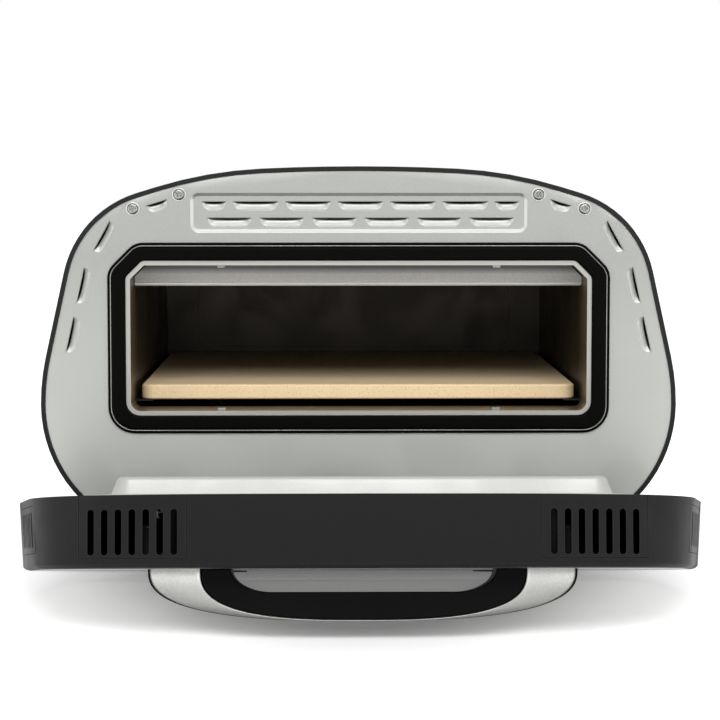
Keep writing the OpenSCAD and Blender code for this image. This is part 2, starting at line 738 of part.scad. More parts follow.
module insulation_blanket() {
    cut = blanket_t * 2;
    color("#dcd8c8") difference() {
        slab(neck_d + 6, cavity_d - 8) polygon([[-blanket_half, floor_z], [blanket_half, floor_z],
            [blanket_half, blanket_top - cut], [blanket_half - cut, blanket_top],
            [cut - blanket_half, blanket_top], [-blanket_half, blanket_top - cut]]);
        slab(neck_d, cavity_d) polygon(plate(liner_half, floor_z - 20, roof_z + panel_t, cavity_r + panel_t));
    }
}

// Two folded cross pieces that carry the liner on the base pan.
module liner_cradles() {
    w = 2 * (floor_half + cradle_over);
    base_z = pan_z + panel_t;
    deck_z = floor_z - panel_t;
    hole_pitch = w * 0.295;
    color("#a7a8a5") for (y = cradle_places) translate([-w / 2, front_y + y, 0]) {
        difference() {
            translate([0, 0, base_z]) cube([w, panel_t, deck_z - base_z]);
            for (i = [-1, 0, 1]) translate([w / 2 + i * hole_pitch, -eps, (base_z + deck_z) / 2])
                rotate([-90, 0, 0]) cylinder(r = (deck_z - base_z) / 4, h = 4);
        }
        translate([0, 0, base_z]) cube([w, cradle_foot, panel_t]);
        translate([0, 0, deck_z - panel_t]) cube([w, cradle_foot, panel_t]);
    }
}

module base_pan() {
    half = floor_half + pan_lap;
    color("#9d9e9b") difference() {
        translate([-half, front_y + pan_front, pan_z])
            cube([2 * half, body_d - pan_front - pan_rear, panel_t]);
        for (x = [-2.5:2.5], y = [body_d * 0.26, body_d / 2, body_d * 0.62])
            translate([x * pan_slot_pitch, front_y + y, pan_z - eps]) linear_extrude(panel_t + 2 * eps)
                polygon(plate(pan_slot_w / 2, -pan_slot_l / 2, pan_slot_l / 2, pan_slot_w * 0.48));
    }
}

module rear_cover() {
    color("#2f2f31") difference() {
        slab(body_d - panel_t, body_d) polygon(both(half_outline(shell_t + fit_gap)));
        for (x = [-7.5:7.5], z = [body_top - 108, body_top - 63]) slab(body_d - 4, body_d + eps)
            translate([x * vent_pitch, z]) polygon(plate(2.2, -15, 15, 2.1));
        for (x = [-5.5:5.5]) slab(body_d - 4, body_d + eps)
            translate([x * vent_pitch, foot_h + 36]) polygon(plate(2.2, -13, 13, 2.1));
        slab(body_d - 4, body_d + eps) translate([gland_x, gland_z]) circle(8);
        at_cover_screws() rotate([90, 0, 0]) cylinder(d = cover_screw_shank + 0.8, h = 10, center = true);
    }
}

module rear_cover_screws() {
    color("silver") at_cover_screws() rotate([0, 0, 180]) screw(cover_screw_head, cover_screw_shank, 7);
}

module rear_spacers() {
    color("#202021") for (s = [-1, 1]) translate([s * spacer_x, front_y + body_d, body_top / 2])
        rotate([-90, 0, 0]) difference() {
            cylinder(r1 = 13, r2 = 10, h = spacer_h);
            translate([0, 0, spacer_h - 3]) cylinder(r = 5, h = 4);
        }
}

// A gland in the rear cover: a flanged sleeve outside, a hexagonal nut inside.
module cord_gland() {
    color("#202021") translate([gland_x, front_y + body_d, gland_z]) rotate([90, 0, 0]) difference() {
        union() {
            translate([0, 0, -7]) cylinder(r1 = 7.5, r2 = 11, h = 4);
            translate([0, 0, -3]) cylinder(r = 11, h = 3);
            cylinder(r = 7.8, h = 10);
            translate([0, 0, panel_t]) cylinder(r = 12, h = 5, $fn = 6);
        }
        translate([0, 0, -7 - eps]) cylinder(d = cord_dia, h = 17 + 2 * eps);
    }
}

// A block of four terminals on the base pan, below the liner's rear.
module terminal_block() {
    w = 56;
    d = 22;
    h = 16;
    color("#e5e0d2") translate([floor_half - w / 2, front_y + cavity_d - 20, pan_z + panel_t]) difference() {
        cube([w, d, h]);
        for (i = [-1.5:1.5]) translate([w / 2 + i * w / 4.2, d / 2, h - 7]) cylinder(r = 3.2, h = 10);
    }
}

module foot(x, y) {
    color("#232325") translate([x * foot_x, front_y + (y < 0 ? foot_y : body_d - foot_y), 0]) difference() {
        translate([0, 0, 3]) cylinder(d1 = foot_dia - 7, d2 = foot_dia, h = foot_h - 3);
        cylinder(d = foot_dia - 11, h = 5);
    }
}
module foot_front_left() { foot(-1, -1); }
module foot_front_right() { foot(1, -1); }
module foot_rear_left() { foot(-1, 1); }
module foot_rear_right() { foot(1, 1); }

module foot_pads() {
    color("#111112") for (x = [-1, 1], y = [foot_y, body_d - foot_y])
        translate([x * foot_x, front_y + y, 0]) cylinder(d = foot_dia - 11, h = 5);
}

// A hinge's fixed half: a plate behind the front panel with two ears that pass through it.
module hinge_bracket(s) {
    color("#8f908d") translate([s * hinge_x, front_y, hinge_z]) difference() {
        union() {
            translate([-14, panel_t, -8]) cube([28, 2.5, 32]);
            for (e = [-1, 1]) translate([e * (knuckle_w / 2 + knuckle_gap + ear_t / 2), 0, 0]) {
                translate([-ear_t / 2, -hinge_back, 0]) rotate([0, 90, 0]) cylinder(r = ear_r, h = ear_t);
                translate([-ear_t / 2, -hinge_back, -ear_r]) cube([ear_t, hinge_back + panel_t + 1, 2 * ear_r]);
            }
        }
        translate([-30, -hinge_back, 0]) rotate([0, 90, 0]) cylinder(d = pin_dia, h = 60);
    }
}
module hinge_bracket_left() { hinge_bracket(-1); }
module hinge_bracket_right() { hinge_bracket(1); }

module hinge_pin(s) {
    half = knuckle_w / 2 + knuckle_gap + ear_t;
    color("silver") translate([s * hinge_x - half, hinge_y, hinge_z]) rotate([0, 90, 0]) {
        cylinder(d = pin_dia, h = 2 * half);
        for (x = [-1, 2 * half]) translate([0, 0, x]) cylinder(d = pin_dia + 2.4, h = 1);
    }
}
module hinge_pin_left() { hinge_pin(-1); }
module hinge_pin_right() { hinge_pin(1); }

// The frame's outside, closed over: drafted sides and a rounded front edge.
module frame_body() {
    hull() {
        door_slab(rim_y - 0.01, rim_y) polygon(both(half_door(0)));
        for (a = [0, 30, 60, 90]) door_slab(face_y + frame_r * (1 - sin(a)), face_y + frame_r)
            polygon(both(half_door(frame_draft + frame_r * (1 - cos(a)))));
    }
}

// The same drafted sides moved inward by inset, from a depth behind the door's face to the rim.
module drafted(inset, y0) {
    hull() {
        door_slab(rim_y - 0.01, rim_y) polygon(both(half_door(inset)));
        door_slab(y0, y0 + 0.01) polygon(both(half_door(inset + frame_draft)));
    }
}

module door_frame() {
    color("#2e2e30") on_door() difference() {
        frame_body();
        drafted(frame_t, face_y + frame_t);
        door_slab(face_y - eps, rim_y) polygon(both(half_door(lip_w + 4)));
        door_slab(face_y - eps, face_y + panel_t) polygon(both(half_door(lip_w)));
        for (s = [-1, 1]) {
            grille_space(s, 0, 10);
            side_grille_space(s, 0);
            hinge_notch(s);
        }
    }
}

// Room for the hinge ears in the door's lower edge.
module hinge_notch(s) {
    w = knuckle_w + 2 * (knuckle_gap + ear_t + 2.4);
    translate([s * hinge_x - w / 2, 0, 0]) rotate([0, 90, 0]) cylinder(r = ear_r + 0.6, h = w);
    translate([s * hinge_x - w / 2, 0, -eps]) cube([w, 10, ear_r + 0.6 + eps]);
}

module door_back_frame() {
    color("#29292b") on_door() difference() {
        door_slab(rim_y - 2.5, rim_y) polygon(both(half_door(frame_t + fit_gap)));
        door_slab(rim_y - 4, rim_y + eps) translate([0, -hinge_z]) seal_shape(3);
        for (s = [-1, 1]) hinge_notch(s);
    }
}

module raised(half, lo, hi, grow, y0, y1) {
    hull() {
        door_slab(y0 - 0.01, y0) polygon(plate(half + grow, lo - grow, hi + grow, 14 + grow));
        door_slab(y1 - 0.01, y1) polygon(plate(half - pan_draft + grow, lo + pan_draft - grow,
            hi - pan_draft + grow, 12 + grow));
    }
}

module door_inner_panel() {
    color("#c4c6c3") on_door() difference() {
        union() {
            door_slab(rim_y - panel_t, rim_y + pan_step) translate([0, -hinge_z]) seal_shape(3 + fit_gap);
            raised(pan_half, pan_lo, pan_hi, 0, rim_y + pan_step, rim_y + pan_h);
        }
        door_slab(rim_y - 2, rim_y + pan_step - panel_t) translate([0, -hinge_z]) seal_shape(3 + fit_gap + panel_t);
        raised(pan_half, pan_lo, pan_hi, -panel_t, rim_y + pan_step - panel_t - 0.1, rim_y + pan_h - panel_t);
        door_slab(rim_y, rim_y + pan_h + eps) window_shape(0);
    }
}

module window_shape(grow) {
    polygon(plate(window_w / 2 + grow, window_z - window_h / 2 - grow, window_z + window_h / 2 + grow, 10 + grow));
}

module inner_glass() {
    color([0.5, 0.45, 0.4, 0.4]) on_door() door_slab(inner_glass_y - glass_t, inner_glass_y) window_shape(pane_margin);
}

module outer_glass() {
    color([0.15, 0.15, 0.16, 0.5]) on_door() door_slab(outer_glass_y - glass_t, outer_glass_y) window_shape(pane_margin);
}

// A folded tunnel between the two panes, which keeps the view clear of the door's inside.
module window_shroud() {
    color("#9b9c99") on_door() difference() {
        door_slab(outer_glass_y, inner_glass_y - glass_t) window_shape(pane_margin);
        door_slab(outer_glass_y - eps, inner_glass_y) window_shape(pane_margin - panel_t);
    }
}

module door_outer_panel() {
    color("#b7b9b7") on_door() difference() {
        door_slab(face_y, face_y + panel_t) polygon(both(half_door(lip_w + fit_gap)));
        door_slab(face_y - eps, face_y + 4) window_shape(0);
        for (s = [-1, 1]) translate([s * dial_x, face_y - eps, dial_z]) rotate([-90, 0, 0])
            cylinder(d = well_dia - 1.6, h = 4);
    }
}

// Space of a top grille: the frame's wall between two lateral places, open to the rim plane.
module grille_space(s, gap, deep) {
    half = grille_half - gap;
    lo = body_top - hinge_z - 60;
    translate([s * grille_x - half, rim_y - grille_d + gap, lo]) cube([2 * half, grille_d + deep, 90]);
}

module side_grille_space(s, gap) {
    half = grille_half - gap;
    x = body_w / 2 - 40;
    translate([s > 0 ? x : -x - 60, rim_y - side_grille_lo + gap, side_grille_z - half])
        cube([60, side_grille_d - 2 * gap, 2 * half]);
}

// The ring of the frame's wall from which the grilles are cut.
module wall_piece() {
    difference() {
        drafted(fit_gap, face_y + frame_t);
        drafted(frame_t, face_y + frame_t - 0.02);
    }
}

module vent_grille(s) {
    color("#2a2a2c") on_door() difference() {
        intersection() {
            wall_piece();
            grille_space(s, fit_gap, 0);
        }
        for (i = [0:slot_n - 1])
            translate([s * grille_x + (i - (slot_n - 1) / 2) * slot_pitch, rim_y - slot_y, body_top - hinge_z - 60])
                linear_extrude(90) polygon(plate(slot_w / 2, -slot_l / 2, slot_l / 2, slot_w * 0.48));
    }
}
module vent_grille_left() { vent_grille(-1); }
module vent_grille_right() { vent_grille(1); }

module side_grille(s) {
    slot_half = side_grille_d / 2 - 4;
    mid_y = rim_y - side_grille_lo + side_grille_d / 2;
    color("#2a2a2c") on_door() difference() {
        intersection() {
            wall_piece();
            side_grille_space(s, fit_gap);
        }
        for (i = [0:slot_n - 1])
            translate([s * body_w / 2, mid_y, side_grille_z + (i - (slot_n - 1) / 2) * slot_pitch])
                rotate([0, 90, 0]) linear_extrude(120, center = true)
                    polygon(plate(slot_w / 2, -slot_half, slot_half, slot_w * 0.48));
    }
}
module side_grille_left() { side_grille(-1); }
module side_grille_right() { side_grille(1); }

// The handle's section at its upper side (t = 0) and its flared lower side (t = 1).
function handle_section(t, inset) = oval(
    (grip_w + (flare_w - grip_w) * t) / 2 - inset, handle_d - 1.4 * (1 - t) - inset, 2.9 - 0.2 * t);

module handle_loft(inset, z0, z1) {
    hull() {
        translate([0, face_y, z0]) linear_extrude(0.02) polygon(handle_section(1, inset));
        translate([0, face_y, z1 - 0.02]) linear_extrude(0.02) polygon(handle_section(0, inset));
    }
}

module finger_space(z0, z1) {
    translate([0, face_y, z0]) linear_extrude(z1 - z0) polygon(rounded(
        [[-finger_w / 2, 5], [finger_w / 2, 5], [finger_w / 2, -finger_d], [-finger_w / 2, -finger_d]],
        [0, 0, finger_d * 0.9, finger_d * 0.9]));
}

module handle_grip() {
    z0 = handle_z + bezel_t;
    color("#161617") on_door() difference() {
        translate([0, face_y, z0]) linear_extrude(handle_h - bezel_t) polygon(handle_section(0, handle_t + 0.1));
        finger_space(z0 - eps, handle_z + handle_h + eps);
    }
}

module handle_shell() {
    z0 = handle_z + bezel_t;
    z1 = handle_z + handle_h - 0.5;
    color("#d0d1cf") on_door() difference() {
        handle_loft(0, z0, z1);
        handle_loft(handle_t, z0 - 0.01, z1 + 0.01);
        translate([-flare_w, face_y - handle_d - 2, z1 - 0.02]) cube([2 * flare_w, handle_d + 4, 4]);
        translate([-flare_w, face_y - handle_d - 2, z0 - 3.98]) cube([2 * flare_w, handle_d + 4, 4]);
    }
}

module handle_bezel() {
    color("#161617") on_door() difference() {
        translate([0, face_y, handle_z]) linear_extrude(bezel_t) polygon(handle_section(1, -1.2));
        finger_space(handle_z - eps, handle_z + bezel_t + eps);
    }
}

// Posts inside the door that carry the handle through the outer panel, each with a screw in its end.
module at_handle_posts() {
    for (x = [-post_x, post_x]) on_door()
        translate([x - post_shift, face_y + panel_t, handle_z + handle_h * 0.72]) rotate([-90, 0, 0]) children();
}

module handle_brackets() {
    color("#1c1c1d") at_handle_posts() difference() {
        union() {
            cylinder(d = 9, h = post_h);
            translate([-14, -9, 0]) cube([28, 18, 3]);
        }
        translate([0, 0, post_h - 12]) cylinder(d = 3, h = 13);
    }
}

module handle_screws() {
    color("silver") at_handle_posts() translate([0, 0, post_h]) rotate([-90, 0, 0]) screw(7, 3, 11);
}

module well(s) {
    color("#1d1d1e") on_door() translate([s * dial_x, face_y, dial_z]) rotate([-90, 0, 0]) rotate_extrude()
        polygon([[shaft_dia / 2 + 1, well_d], [well_dia / 2 - 8, well_d], [well_dia / 2 - 3, 2.5], [well_dia / 2 - 2, 0],
            [well_dia / 2, -0.8], [well_dia / 2 + 1.5, -0.8], [well_dia / 2 + 1.5, 0], [well_dia / 2 - 1, 0],
            [well_dia / 2 - 1.2, 3], [well_dia / 2 - 6.6, well_d + 1.6], [shaft_dia / 2 + 1, well_d + 1.6]]);
}
module temperature_well() { well(-1); }
module timer_well() { well(1); }

module control(s) {
    color("#c9c4b6") on_door() translate([s * dial_x, well_y + 1.6, dial_z]) rotate([-90, 0, 0]) difference() {
        translate([-14, -14, 0]) cube([28, 28, control_d]);
        translate([0, 0, -eps]) cylinder(d = shaft_dia + 2 * run_gap, h = 11 + eps);
    }
}
module temperature_control() { control(-1); }
module timer_control() { control(1); }

module shaft(s) {
    color("silver") on_door() translate([s * dial_x, well_y + 1.6 + 10.8, dial_z]) rotate([90, 0, 0])
        cylinder(d = shaft_dia, h = 10.8 + 1.6 + dial_h - 4);
}
module temperature_shaft() { shaft(-1); }
module timer_shaft() { shaft(1); }

// A dial: a skirt, a tapered cap and a ridge to grip, with a pointer on its rim.
module knob(s) {
    r = dial_dia / 2;
    color("#222224") on_door() translate([s * dial_x, well_y - 0.4, dial_z]) rotate([90, 0, 0]) difference() {
        union() {
            cylinder(r = r, h = 3);
            cylinder(r1 = r - 1.5, r2 = r - 3, h = dial_h - 3);
            translate([-3, 3 - r, 0]) cube([6, 2 * r - 6, dial_h - 0.4]);
        }
        translate([0, 0, -eps]) cylinder(d = shaft_dia, h = dial_h - 4.4 + eps);
        translate([-0.8, r - 8, dial_h - 1.2]) cube([1.6, 5.2, 2]);
    }
}
module temperature_knob() { knob(-1); }
module timer_knob() { knob(1); }

// A hinge's moving half: a knuckle on the pin, a strap up the door and a heel that stops the door.
module hinge_arm(s) {
    color("#8f908d") on_door() translate([s * hinge_x - knuckle_w / 2, 0, 0]) difference() {
        union() {
            rotate([0, 90, 0]) cylinder(r = ear_r - 0.6, h = knuckle_w);
            translate([0, rim_y - 5, 0]) cube([knuckle_w, 2.5, 44]);
            translate([knuckle_w / 2 - 4, -1.5, -heel_r]) cube([8, 3, heel_r]);
        }
        translate([-eps, 0, 0]) rotate([0, 90, 0]) cylinder(d = pin_dia + 2 * run_gap, h = knuckle_w + 2 * eps);
    }
}
module hinge_arm_left() { hinge_arm(-1); }
module hinge_arm_right() { hinge_arm(1); }

outer_shell();
front_panel();
front_panel_screws();
door_seal();
seal_wire();
cavity_liner();
heat_deflector();
baking_stone();
stone_rail_left();
stone_rail_right();
upper_element();
lower_element();
upper_element_clips();
lower_element_clips();
element_bushings();
temperature_probe();
thermal_cutout();
insulation_blanket();
liner_cradles();
base_pan();
rear_cover();
rear_cover_screws();
rear_spacers();
cord_gland();
terminal_block();
foot_front_left();
foot_front_right();
foot_rear_left();
foot_rear_right();
foot_pads();
hinge_bracket_left();
hinge_bracket_right();
hinge_pin_left();
hinge_pin_right();
door_frame();
door_back_frame();
door_inner_panel();
door_outer_panel();
inner_glass();
outer_glass();
window_shroud();
vent_grille_left();
vent_grille_right();
side_grille_left();
side_grille_right();
handle_grip();
handle_shell();
handle_bezel();
handle_brackets();
handle_screws();
temperature_well();
timer_well();
temperature_control();
timer_control();
hinge_arm_left();
hinge_arm_right();
temperature_knob();
temperature_shaft();
timer_knob();
timer_shaft();
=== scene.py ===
"""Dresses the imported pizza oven: fine shapes, finishes, studio, camera. It is laid out as an add-on.

Shapes are drawn in millimetres, in the oven's own frame or in that of its closed door, and are
placed and turned to metres as each mesh is made.
"""

import json
import math

import bmesh
import bpy
from bpy.props import FloatProperty, FloatVectorProperty, IntProperty, PointerProperty
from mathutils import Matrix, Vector
from mathutils.geometry import delaunay_2d_cdt

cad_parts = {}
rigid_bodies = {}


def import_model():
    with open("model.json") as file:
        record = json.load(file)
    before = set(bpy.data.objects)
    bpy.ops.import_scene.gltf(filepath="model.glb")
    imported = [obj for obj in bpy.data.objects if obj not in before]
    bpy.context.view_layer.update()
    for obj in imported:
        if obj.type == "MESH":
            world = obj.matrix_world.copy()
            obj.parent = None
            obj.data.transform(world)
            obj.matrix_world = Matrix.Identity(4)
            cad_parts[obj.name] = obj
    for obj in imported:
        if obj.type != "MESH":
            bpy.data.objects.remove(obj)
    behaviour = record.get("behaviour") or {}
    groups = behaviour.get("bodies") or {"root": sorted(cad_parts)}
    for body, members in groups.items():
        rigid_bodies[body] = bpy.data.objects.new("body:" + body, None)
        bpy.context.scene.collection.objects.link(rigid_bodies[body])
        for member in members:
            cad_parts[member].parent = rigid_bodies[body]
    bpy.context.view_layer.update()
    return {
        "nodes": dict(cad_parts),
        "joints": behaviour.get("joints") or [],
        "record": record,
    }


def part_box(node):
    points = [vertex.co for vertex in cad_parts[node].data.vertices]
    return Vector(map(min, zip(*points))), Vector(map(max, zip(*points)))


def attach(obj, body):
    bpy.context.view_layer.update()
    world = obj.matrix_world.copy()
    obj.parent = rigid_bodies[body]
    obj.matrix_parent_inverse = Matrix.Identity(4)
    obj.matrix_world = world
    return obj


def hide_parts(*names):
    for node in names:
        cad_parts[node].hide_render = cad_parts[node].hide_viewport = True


bl_info = {
    "name": "Pizza oven dressing",
    "version": (1, 0, 0),
    "blender": (4, 5, 0),
    "location": "3D View > Sidebar > Pizza Oven",
    "description": "Builds the visible shapes and finishes of a countertop pizza oven",
    "category": "Object",
}

MM = 0.001

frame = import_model()


def node_box(node):
    """A node's lowest and highest corners, in millimetres."""
    low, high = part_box(node)
    return low / MM, high / MM


def joint(name):
    return next(entry for entry in frame["joints"] if entry["name"] == name)


# The body's outline, from the crown down: the turn at which each arc starts, and its radius.
ARC_TURNS = [0.0, 2.7, 17.1, 77.4, 90.0, 180.0]
ARC_RADII = [1550.0, 320.0, 80.4, 167.0, 101.5]
ROOF_ARC = 2
FLANK_ARC = 3
ROOF_TURN = ARC_TURNS[ROOF_ARC]
FLANK_TURN = ARC_TURNS[FLANK_ARC]
SHELL_LOW, SHELL_HIGH = node_box("outer_shell")
BODY_HALF = SHELL_HIGH.x
BODY_TOP = SHELL_HIGH.z
BODY_FOOT = SHELL_LOW.z
FRONT_Y = node_box("front_panel")[0].y
HEM_W = 3.2
FIT_GAP = 0.3
SHEET_T = 1.2

# The mouth, its flange, its seal and the tabs that hold the liner.
STONE_LOW, STONE_HIGH = node_box("baking_stone")
STONE_CORNER = 9.0
MOUTH_HALF = 171.8
MOUTH_LOW = 125.1
MOUTH_HIGH = 234.8
MOUTH_CUT = 10.3
MOUTH_CUT_R = 2.0
MOUTH_R = 7.0
FLANGE_W = 3.4
SEAL_W = 13.6
SEAL_CUT = 20.6
SEAL_CUT_R = 15.0
SEAL_R = 20.0
WIRE_IN = 2.4
WIRE_Y = -2.4
WIRE_R = 0.4
TAB_X = 103.6
TAB_Y = 2.6
TAB_HALF_W = 3.0
TAB_HALF_H = 1.2
TAB_R = 0.7
TAB_IN = 0.9
# How much a 45 degree chamfer grows as its outline moves out by one.
CHAMFER_GAIN = 2 - math.sqrt(2)

# The vent field, and how far its wall runs inward on its way down.
FIELD_HALF_W = 126.0
FIELD_HALF_H = 14.45
FIELD_Z = MOUTH_HIGH + 39.35
FIELD_D = 2.5
FIELD_R = 6.0
FIELD_WALL = 1.5

# The field's louvres: two rows, with a short one at each end of the upper row, 2.79 pitches out.
LOUVRE_PITCH = 39.4
UPPER_ROW = FIELD_Z + 5.3
LOWER_ROW = FIELD_Z - 6.9
ROW_SHIFT = 1.3
UPPER_L = 33.0
LOWER_L = 32.0
END_L = 17.2
END_AT = 2.79
# A louvre's height and corners, the flat skirt round it, and the stretch over which it rises to its ends.
LOUVRE_H = 5.7
LOUVRE_R = LOUVRE_H * 0.8
LOUVRE_SKIRT = 0.9
LOUVRE_END = 6.0
# The heights above a louvre's lower edge at which its rows lie, close together round its corners.
LOUVRE_ROWS = [LOUVRE_R * (1 - math.cos(math.radians(15 * i))) for i in range(7)] + [LOUVRE_H]
# Louvres beside the panel's edge: arc, turn there, run on, distance in, length and tilt.
EDGE_LOUVRES = [
    (ROOF_ARC, ROOF_TURN, -12.0, 14.3, 15.5, ROOF_TURN),
    (ROOF_ARC, 47.6, 0.0, 16.1, 25.0, 61.0),
    (FLANK_ARC, FLANK_TURN, -58.4, 16.9, 27.0, FLANK_TURN),
    (FLANK_ARC, FLANK_TURN, -20.4, 16.9, 27.0, FLANK_TURN),
]

# The screws: beside the roof on the front panel, and beside four turns of the outline at the rear.
FRONT_SCREW_R = 4.0
FRONT_SCREW_RUNS = (-30.0, 6.2)
FRONT_SCREW_IN = 10.4
REAR_SCREW_R = 3.25
REAR_SCREWS = [(1, ROOF_TURN), (2, FLANK_TURN), (4, 135.0), (4, 180.0)]
REAR_SCREW_IN = 8.0
# A screw's section from the washer's edge to the crown's rim, as shares of its radius and its rise.
SCREW_SECTION = [(1.22, 0.0), (1.2, 0.14), (1.08, 0.2), (0.98, 0.1), (0.97, 0.42), (0.93, 0.7), (0.82, 0.9),
                 (0.68, 1.0)]
# A seat's section from the inside out: its radius and its depth, in millimetres.
SEAT_SECTION = [(4.2, 0.3), (4.25, -0.25), (4.45, -0.45), (4.7, -0.5), (4.95, -0.35), (5.15, 0.0), (5.2, 0.3)]

# The door, in its own frame: the origin on the hinge axis, the door shut.
HINGE = joint("door_hinge")
HINGE_Y = HINGE["pos_m"][1] / MM
HINGE_Z = HINGE["pos_m"][2] / MM
DOOR_TURN = math.radians(HINGE["range_deg"][1])
RIM_Y = 2.3
FACE_Y = RIM_Y - 47.4
TRAY_STEP = 2.5
TRAY_H = 15.5
TRAY_HALF = MOUTH_HALF - 1
TRAY_LOW = MOUTH_LOW - HINGE_Z + 2.5
TRAY_HIGH = MOUTH_HIGH - HINGE_Z - 4.5
TRAY_DRAFT = 5.0
TRAY_R = 14.0
WINDOW_R = 10.0
WINDOW_HALF_W = 128.0
WINDOW_HALF_H = 31.0
WINDOW_Z = (MOUTH_LOW + MOUTH_HIGH) / 2 - HINGE_Z
HANDLE_Z = 193.0
HANDLE_H = 37.0
HANDLE_D = 35.8
FLARE_HALF = 142.0
GRIP_HALF = 107.0
# How far the shell and the bezel stay back from the handle's reach, and the grip from the shell.
SHELL_BACK = 1.4
BEZEL_BACK = 1.2
GRIP_IN = 1.35
FINGER_HALF = 86.5
FINGER_D = 15.2
FINGER_BEND = 26.0
BEZEL_T = 2.5
DIAL_X = 115.0
DIAL_Z = 46.0
DIAL_R = 18.0
TICK_GAP = 2.6
TICK_SIZE = (0.7, 0.3, 2.6)
WELL_D = 10.5

# The studio, in metres.
FLOOR_HALF = 12.0
AIM = Vector((0, 0, 0.12))
KEY_PLACE = (0.1, -1.8, 1.5)
KEY_SIZE = (2.0, 0.9)
SIDE_REACH = 1.5
SIDE_SIZE = (0.8, 0.6)

CORNER_STEPS = 8
CIRCLE_STEPS = 40
SEAT_STEPS = 48
ARC_STEP = 3.0
MERGE = 0.004 * MM


def linear(red, green, blue):
    """A colour given as screen values from 0 to 255, as the linear light that Blender mixes."""
    parts = []
    for part in (red, green, blue):
        part /= 255
        parts.append(part / 12.92 if part <= 0.04045 else ((part + 0.055) / 1.055) ** 2.4)
    return tuple(parts)


# ---------------------------------------------------------------- settings


class OvenShapeSettings(bpy.types.PropertyGroup):
    """Sizes of the fine shapes that a user would change."""

    louvre_depth: FloatProperty(
        name="Louvre depth", description="Depth to which a louvre's lip is pressed in",
        default=2.8 * MM, min=1 * MM, max=4 * MM, unit="LENGTH")
    slit_height: FloatProperty(
        name="Slit height", description="Height of the open slit above a louvre's lip, at its middle",
        default=1.3 * MM, min=0.5 * MM, max=2 * MM, unit="LENGTH")
    field_bend: FloatProperty(
        name="Vent field bend", description="Radius where the sheet bends into the vent field",
        default=0.7 * MM, min=0.3 * MM, max=1.1 * MM, unit="LENGTH")
    stone_edge: FloatProperty(
        name="Stone edge", description="Radius that rounds the baking stone's edges",
        default=2.0 * MM, min=0.5 * MM, max=4 * MM, unit="LENGTH")
    tray_bend: FloatProperty(
        name="Door tray bend", description="Radius round the top of the door's raised inner panel",
        default=4.5 * MM, min=1 * MM, max=6 * MM, unit="LENGTH")
    grip_edge: FloatProperty(
        name="Grip edge", description="Radius that rounds the handle grip's edges",
        default=1.2 * MM, min=0.3 * MM, max=2 * MM, unit="LENGTH")
    dial_ticks: IntProperty(
        name="Dial ticks", description="Number of ticks round each dial", default=11, min=5, max=31)


class OvenColourSettings(bpy.types.PropertyGroup):
    """Colours of the oven's finishes."""

    shell: FloatVectorProperty(
        name="Shell", description="Coating of the outer shell", subtype="COLOR", size=3,
        min=0, max=1, default=linear(24, 24, 25))
    panel: FloatVectorProperty(
        name="Front panel", description="Satin silver of the pressed panels", subtype="COLOR", size=3,
        min=0, max=1, default=linear(161, 163, 159))
    face: FloatVectorProperty(
        name="Brushed steel", description="Brushed sheet of the door's face and the handle",
        subtype="COLOR", size=3, min=0, max=1, default=linear(186, 186, 183))
    liner: FloatVectorProperty(
        name="Cavity liner", description="Heat-tinted finish of the cavity", subtype="COLOR", size=3,
        min=0, max=1, default=linear(56, 47, 34))
    deflector: FloatVectorProperty(
        name="Deflector", description="Satin steel of the heat deflector", subtype="COLOR", size=3,
        min=0, max=1, default=linear(244, 242, 236))
    stone: FloatVectorProperty(
        name="Baking stone", description="Body of the baking stone", subtype="COLOR", size=3,
        min=0, max=1, default=linear(252, 224, 180))
    moulding: FloatVectorProperty(
        name="Moulding", description="Dark moulded plastic of the door's frame", subtype="COLOR", size=3,
        min=0, max=1, default=linear(24, 24, 25))
    grip: FloatVectorProperty(
        name="Grip", description="Black plastic of the handle and dials", subtype="COLOR", size=3,
        min=0, max=1, default=linear(7, 7, 7))
    seal: FloatVectorProperty(
        name="Seal", description="Black rubber of the mouth's seal", subtype="COLOR", size=3,
        min=0, max=1, default=linear(8, 8, 7))


class OvenStageSettings(bpy.types.PropertyGroup):
    """The camera and the light of the studio."""

    lens: FloatProperty(
        name="Lens", description="Focal length for a 36 mm wide sensor", default=113.15, min=20, max=300)
    distance: FloatProperty(
        name="Distance", description="Distance of the camera in front of the front panel",
        default=1.7, min=0.5, max=5, unit="LENGTH")
    side: FloatProperty(
        name="Side shift", description="Camera's place to the right of the oven's middle",
        default=-0.022, min=-1, max=1, unit="LENGTH")
    height: FloatProperty(
        name="Height", description="Camera's height above the worktop",
        default=0.2987, min=0, max=3, unit="LENGTH")
    tilt: FloatProperty(
        name="Tilt", description="Downward tilt of the view", default=math.radians(4.55),
        min=-1.5, max=1.5, unit="ROTATION")
    yaw: FloatProperty(
        name="Yaw", description="Turn of the view to the right", default=math.radians(0.768),
        min=-1.5, max=1.5, unit="ROTATION")
    ambient: FloatProperty(
        name="Ambient light", description="Light from all round", default=0.45, min=0, max=2)
    key: FloatProperty(
        name="Key light", description="Strength of the large lamp above the front", default=31.0,
        min=0, max=100, subtype="POWER")
    sides: FloatProperty(
        name="Side lights", description="Strength of the low lamp at each side", default=4.0,
        min=0, max=100, subtype="POWER")


# ---------------------------------------------------------------- outlines


def heading(turn):
    """The direction square to the outline where it has turned by an angle from level."""
    return Vector((math.sin(turn), math.cos(turn)))


def along(turn):
    return Vector((math.cos(turn), -math.sin(turn)))


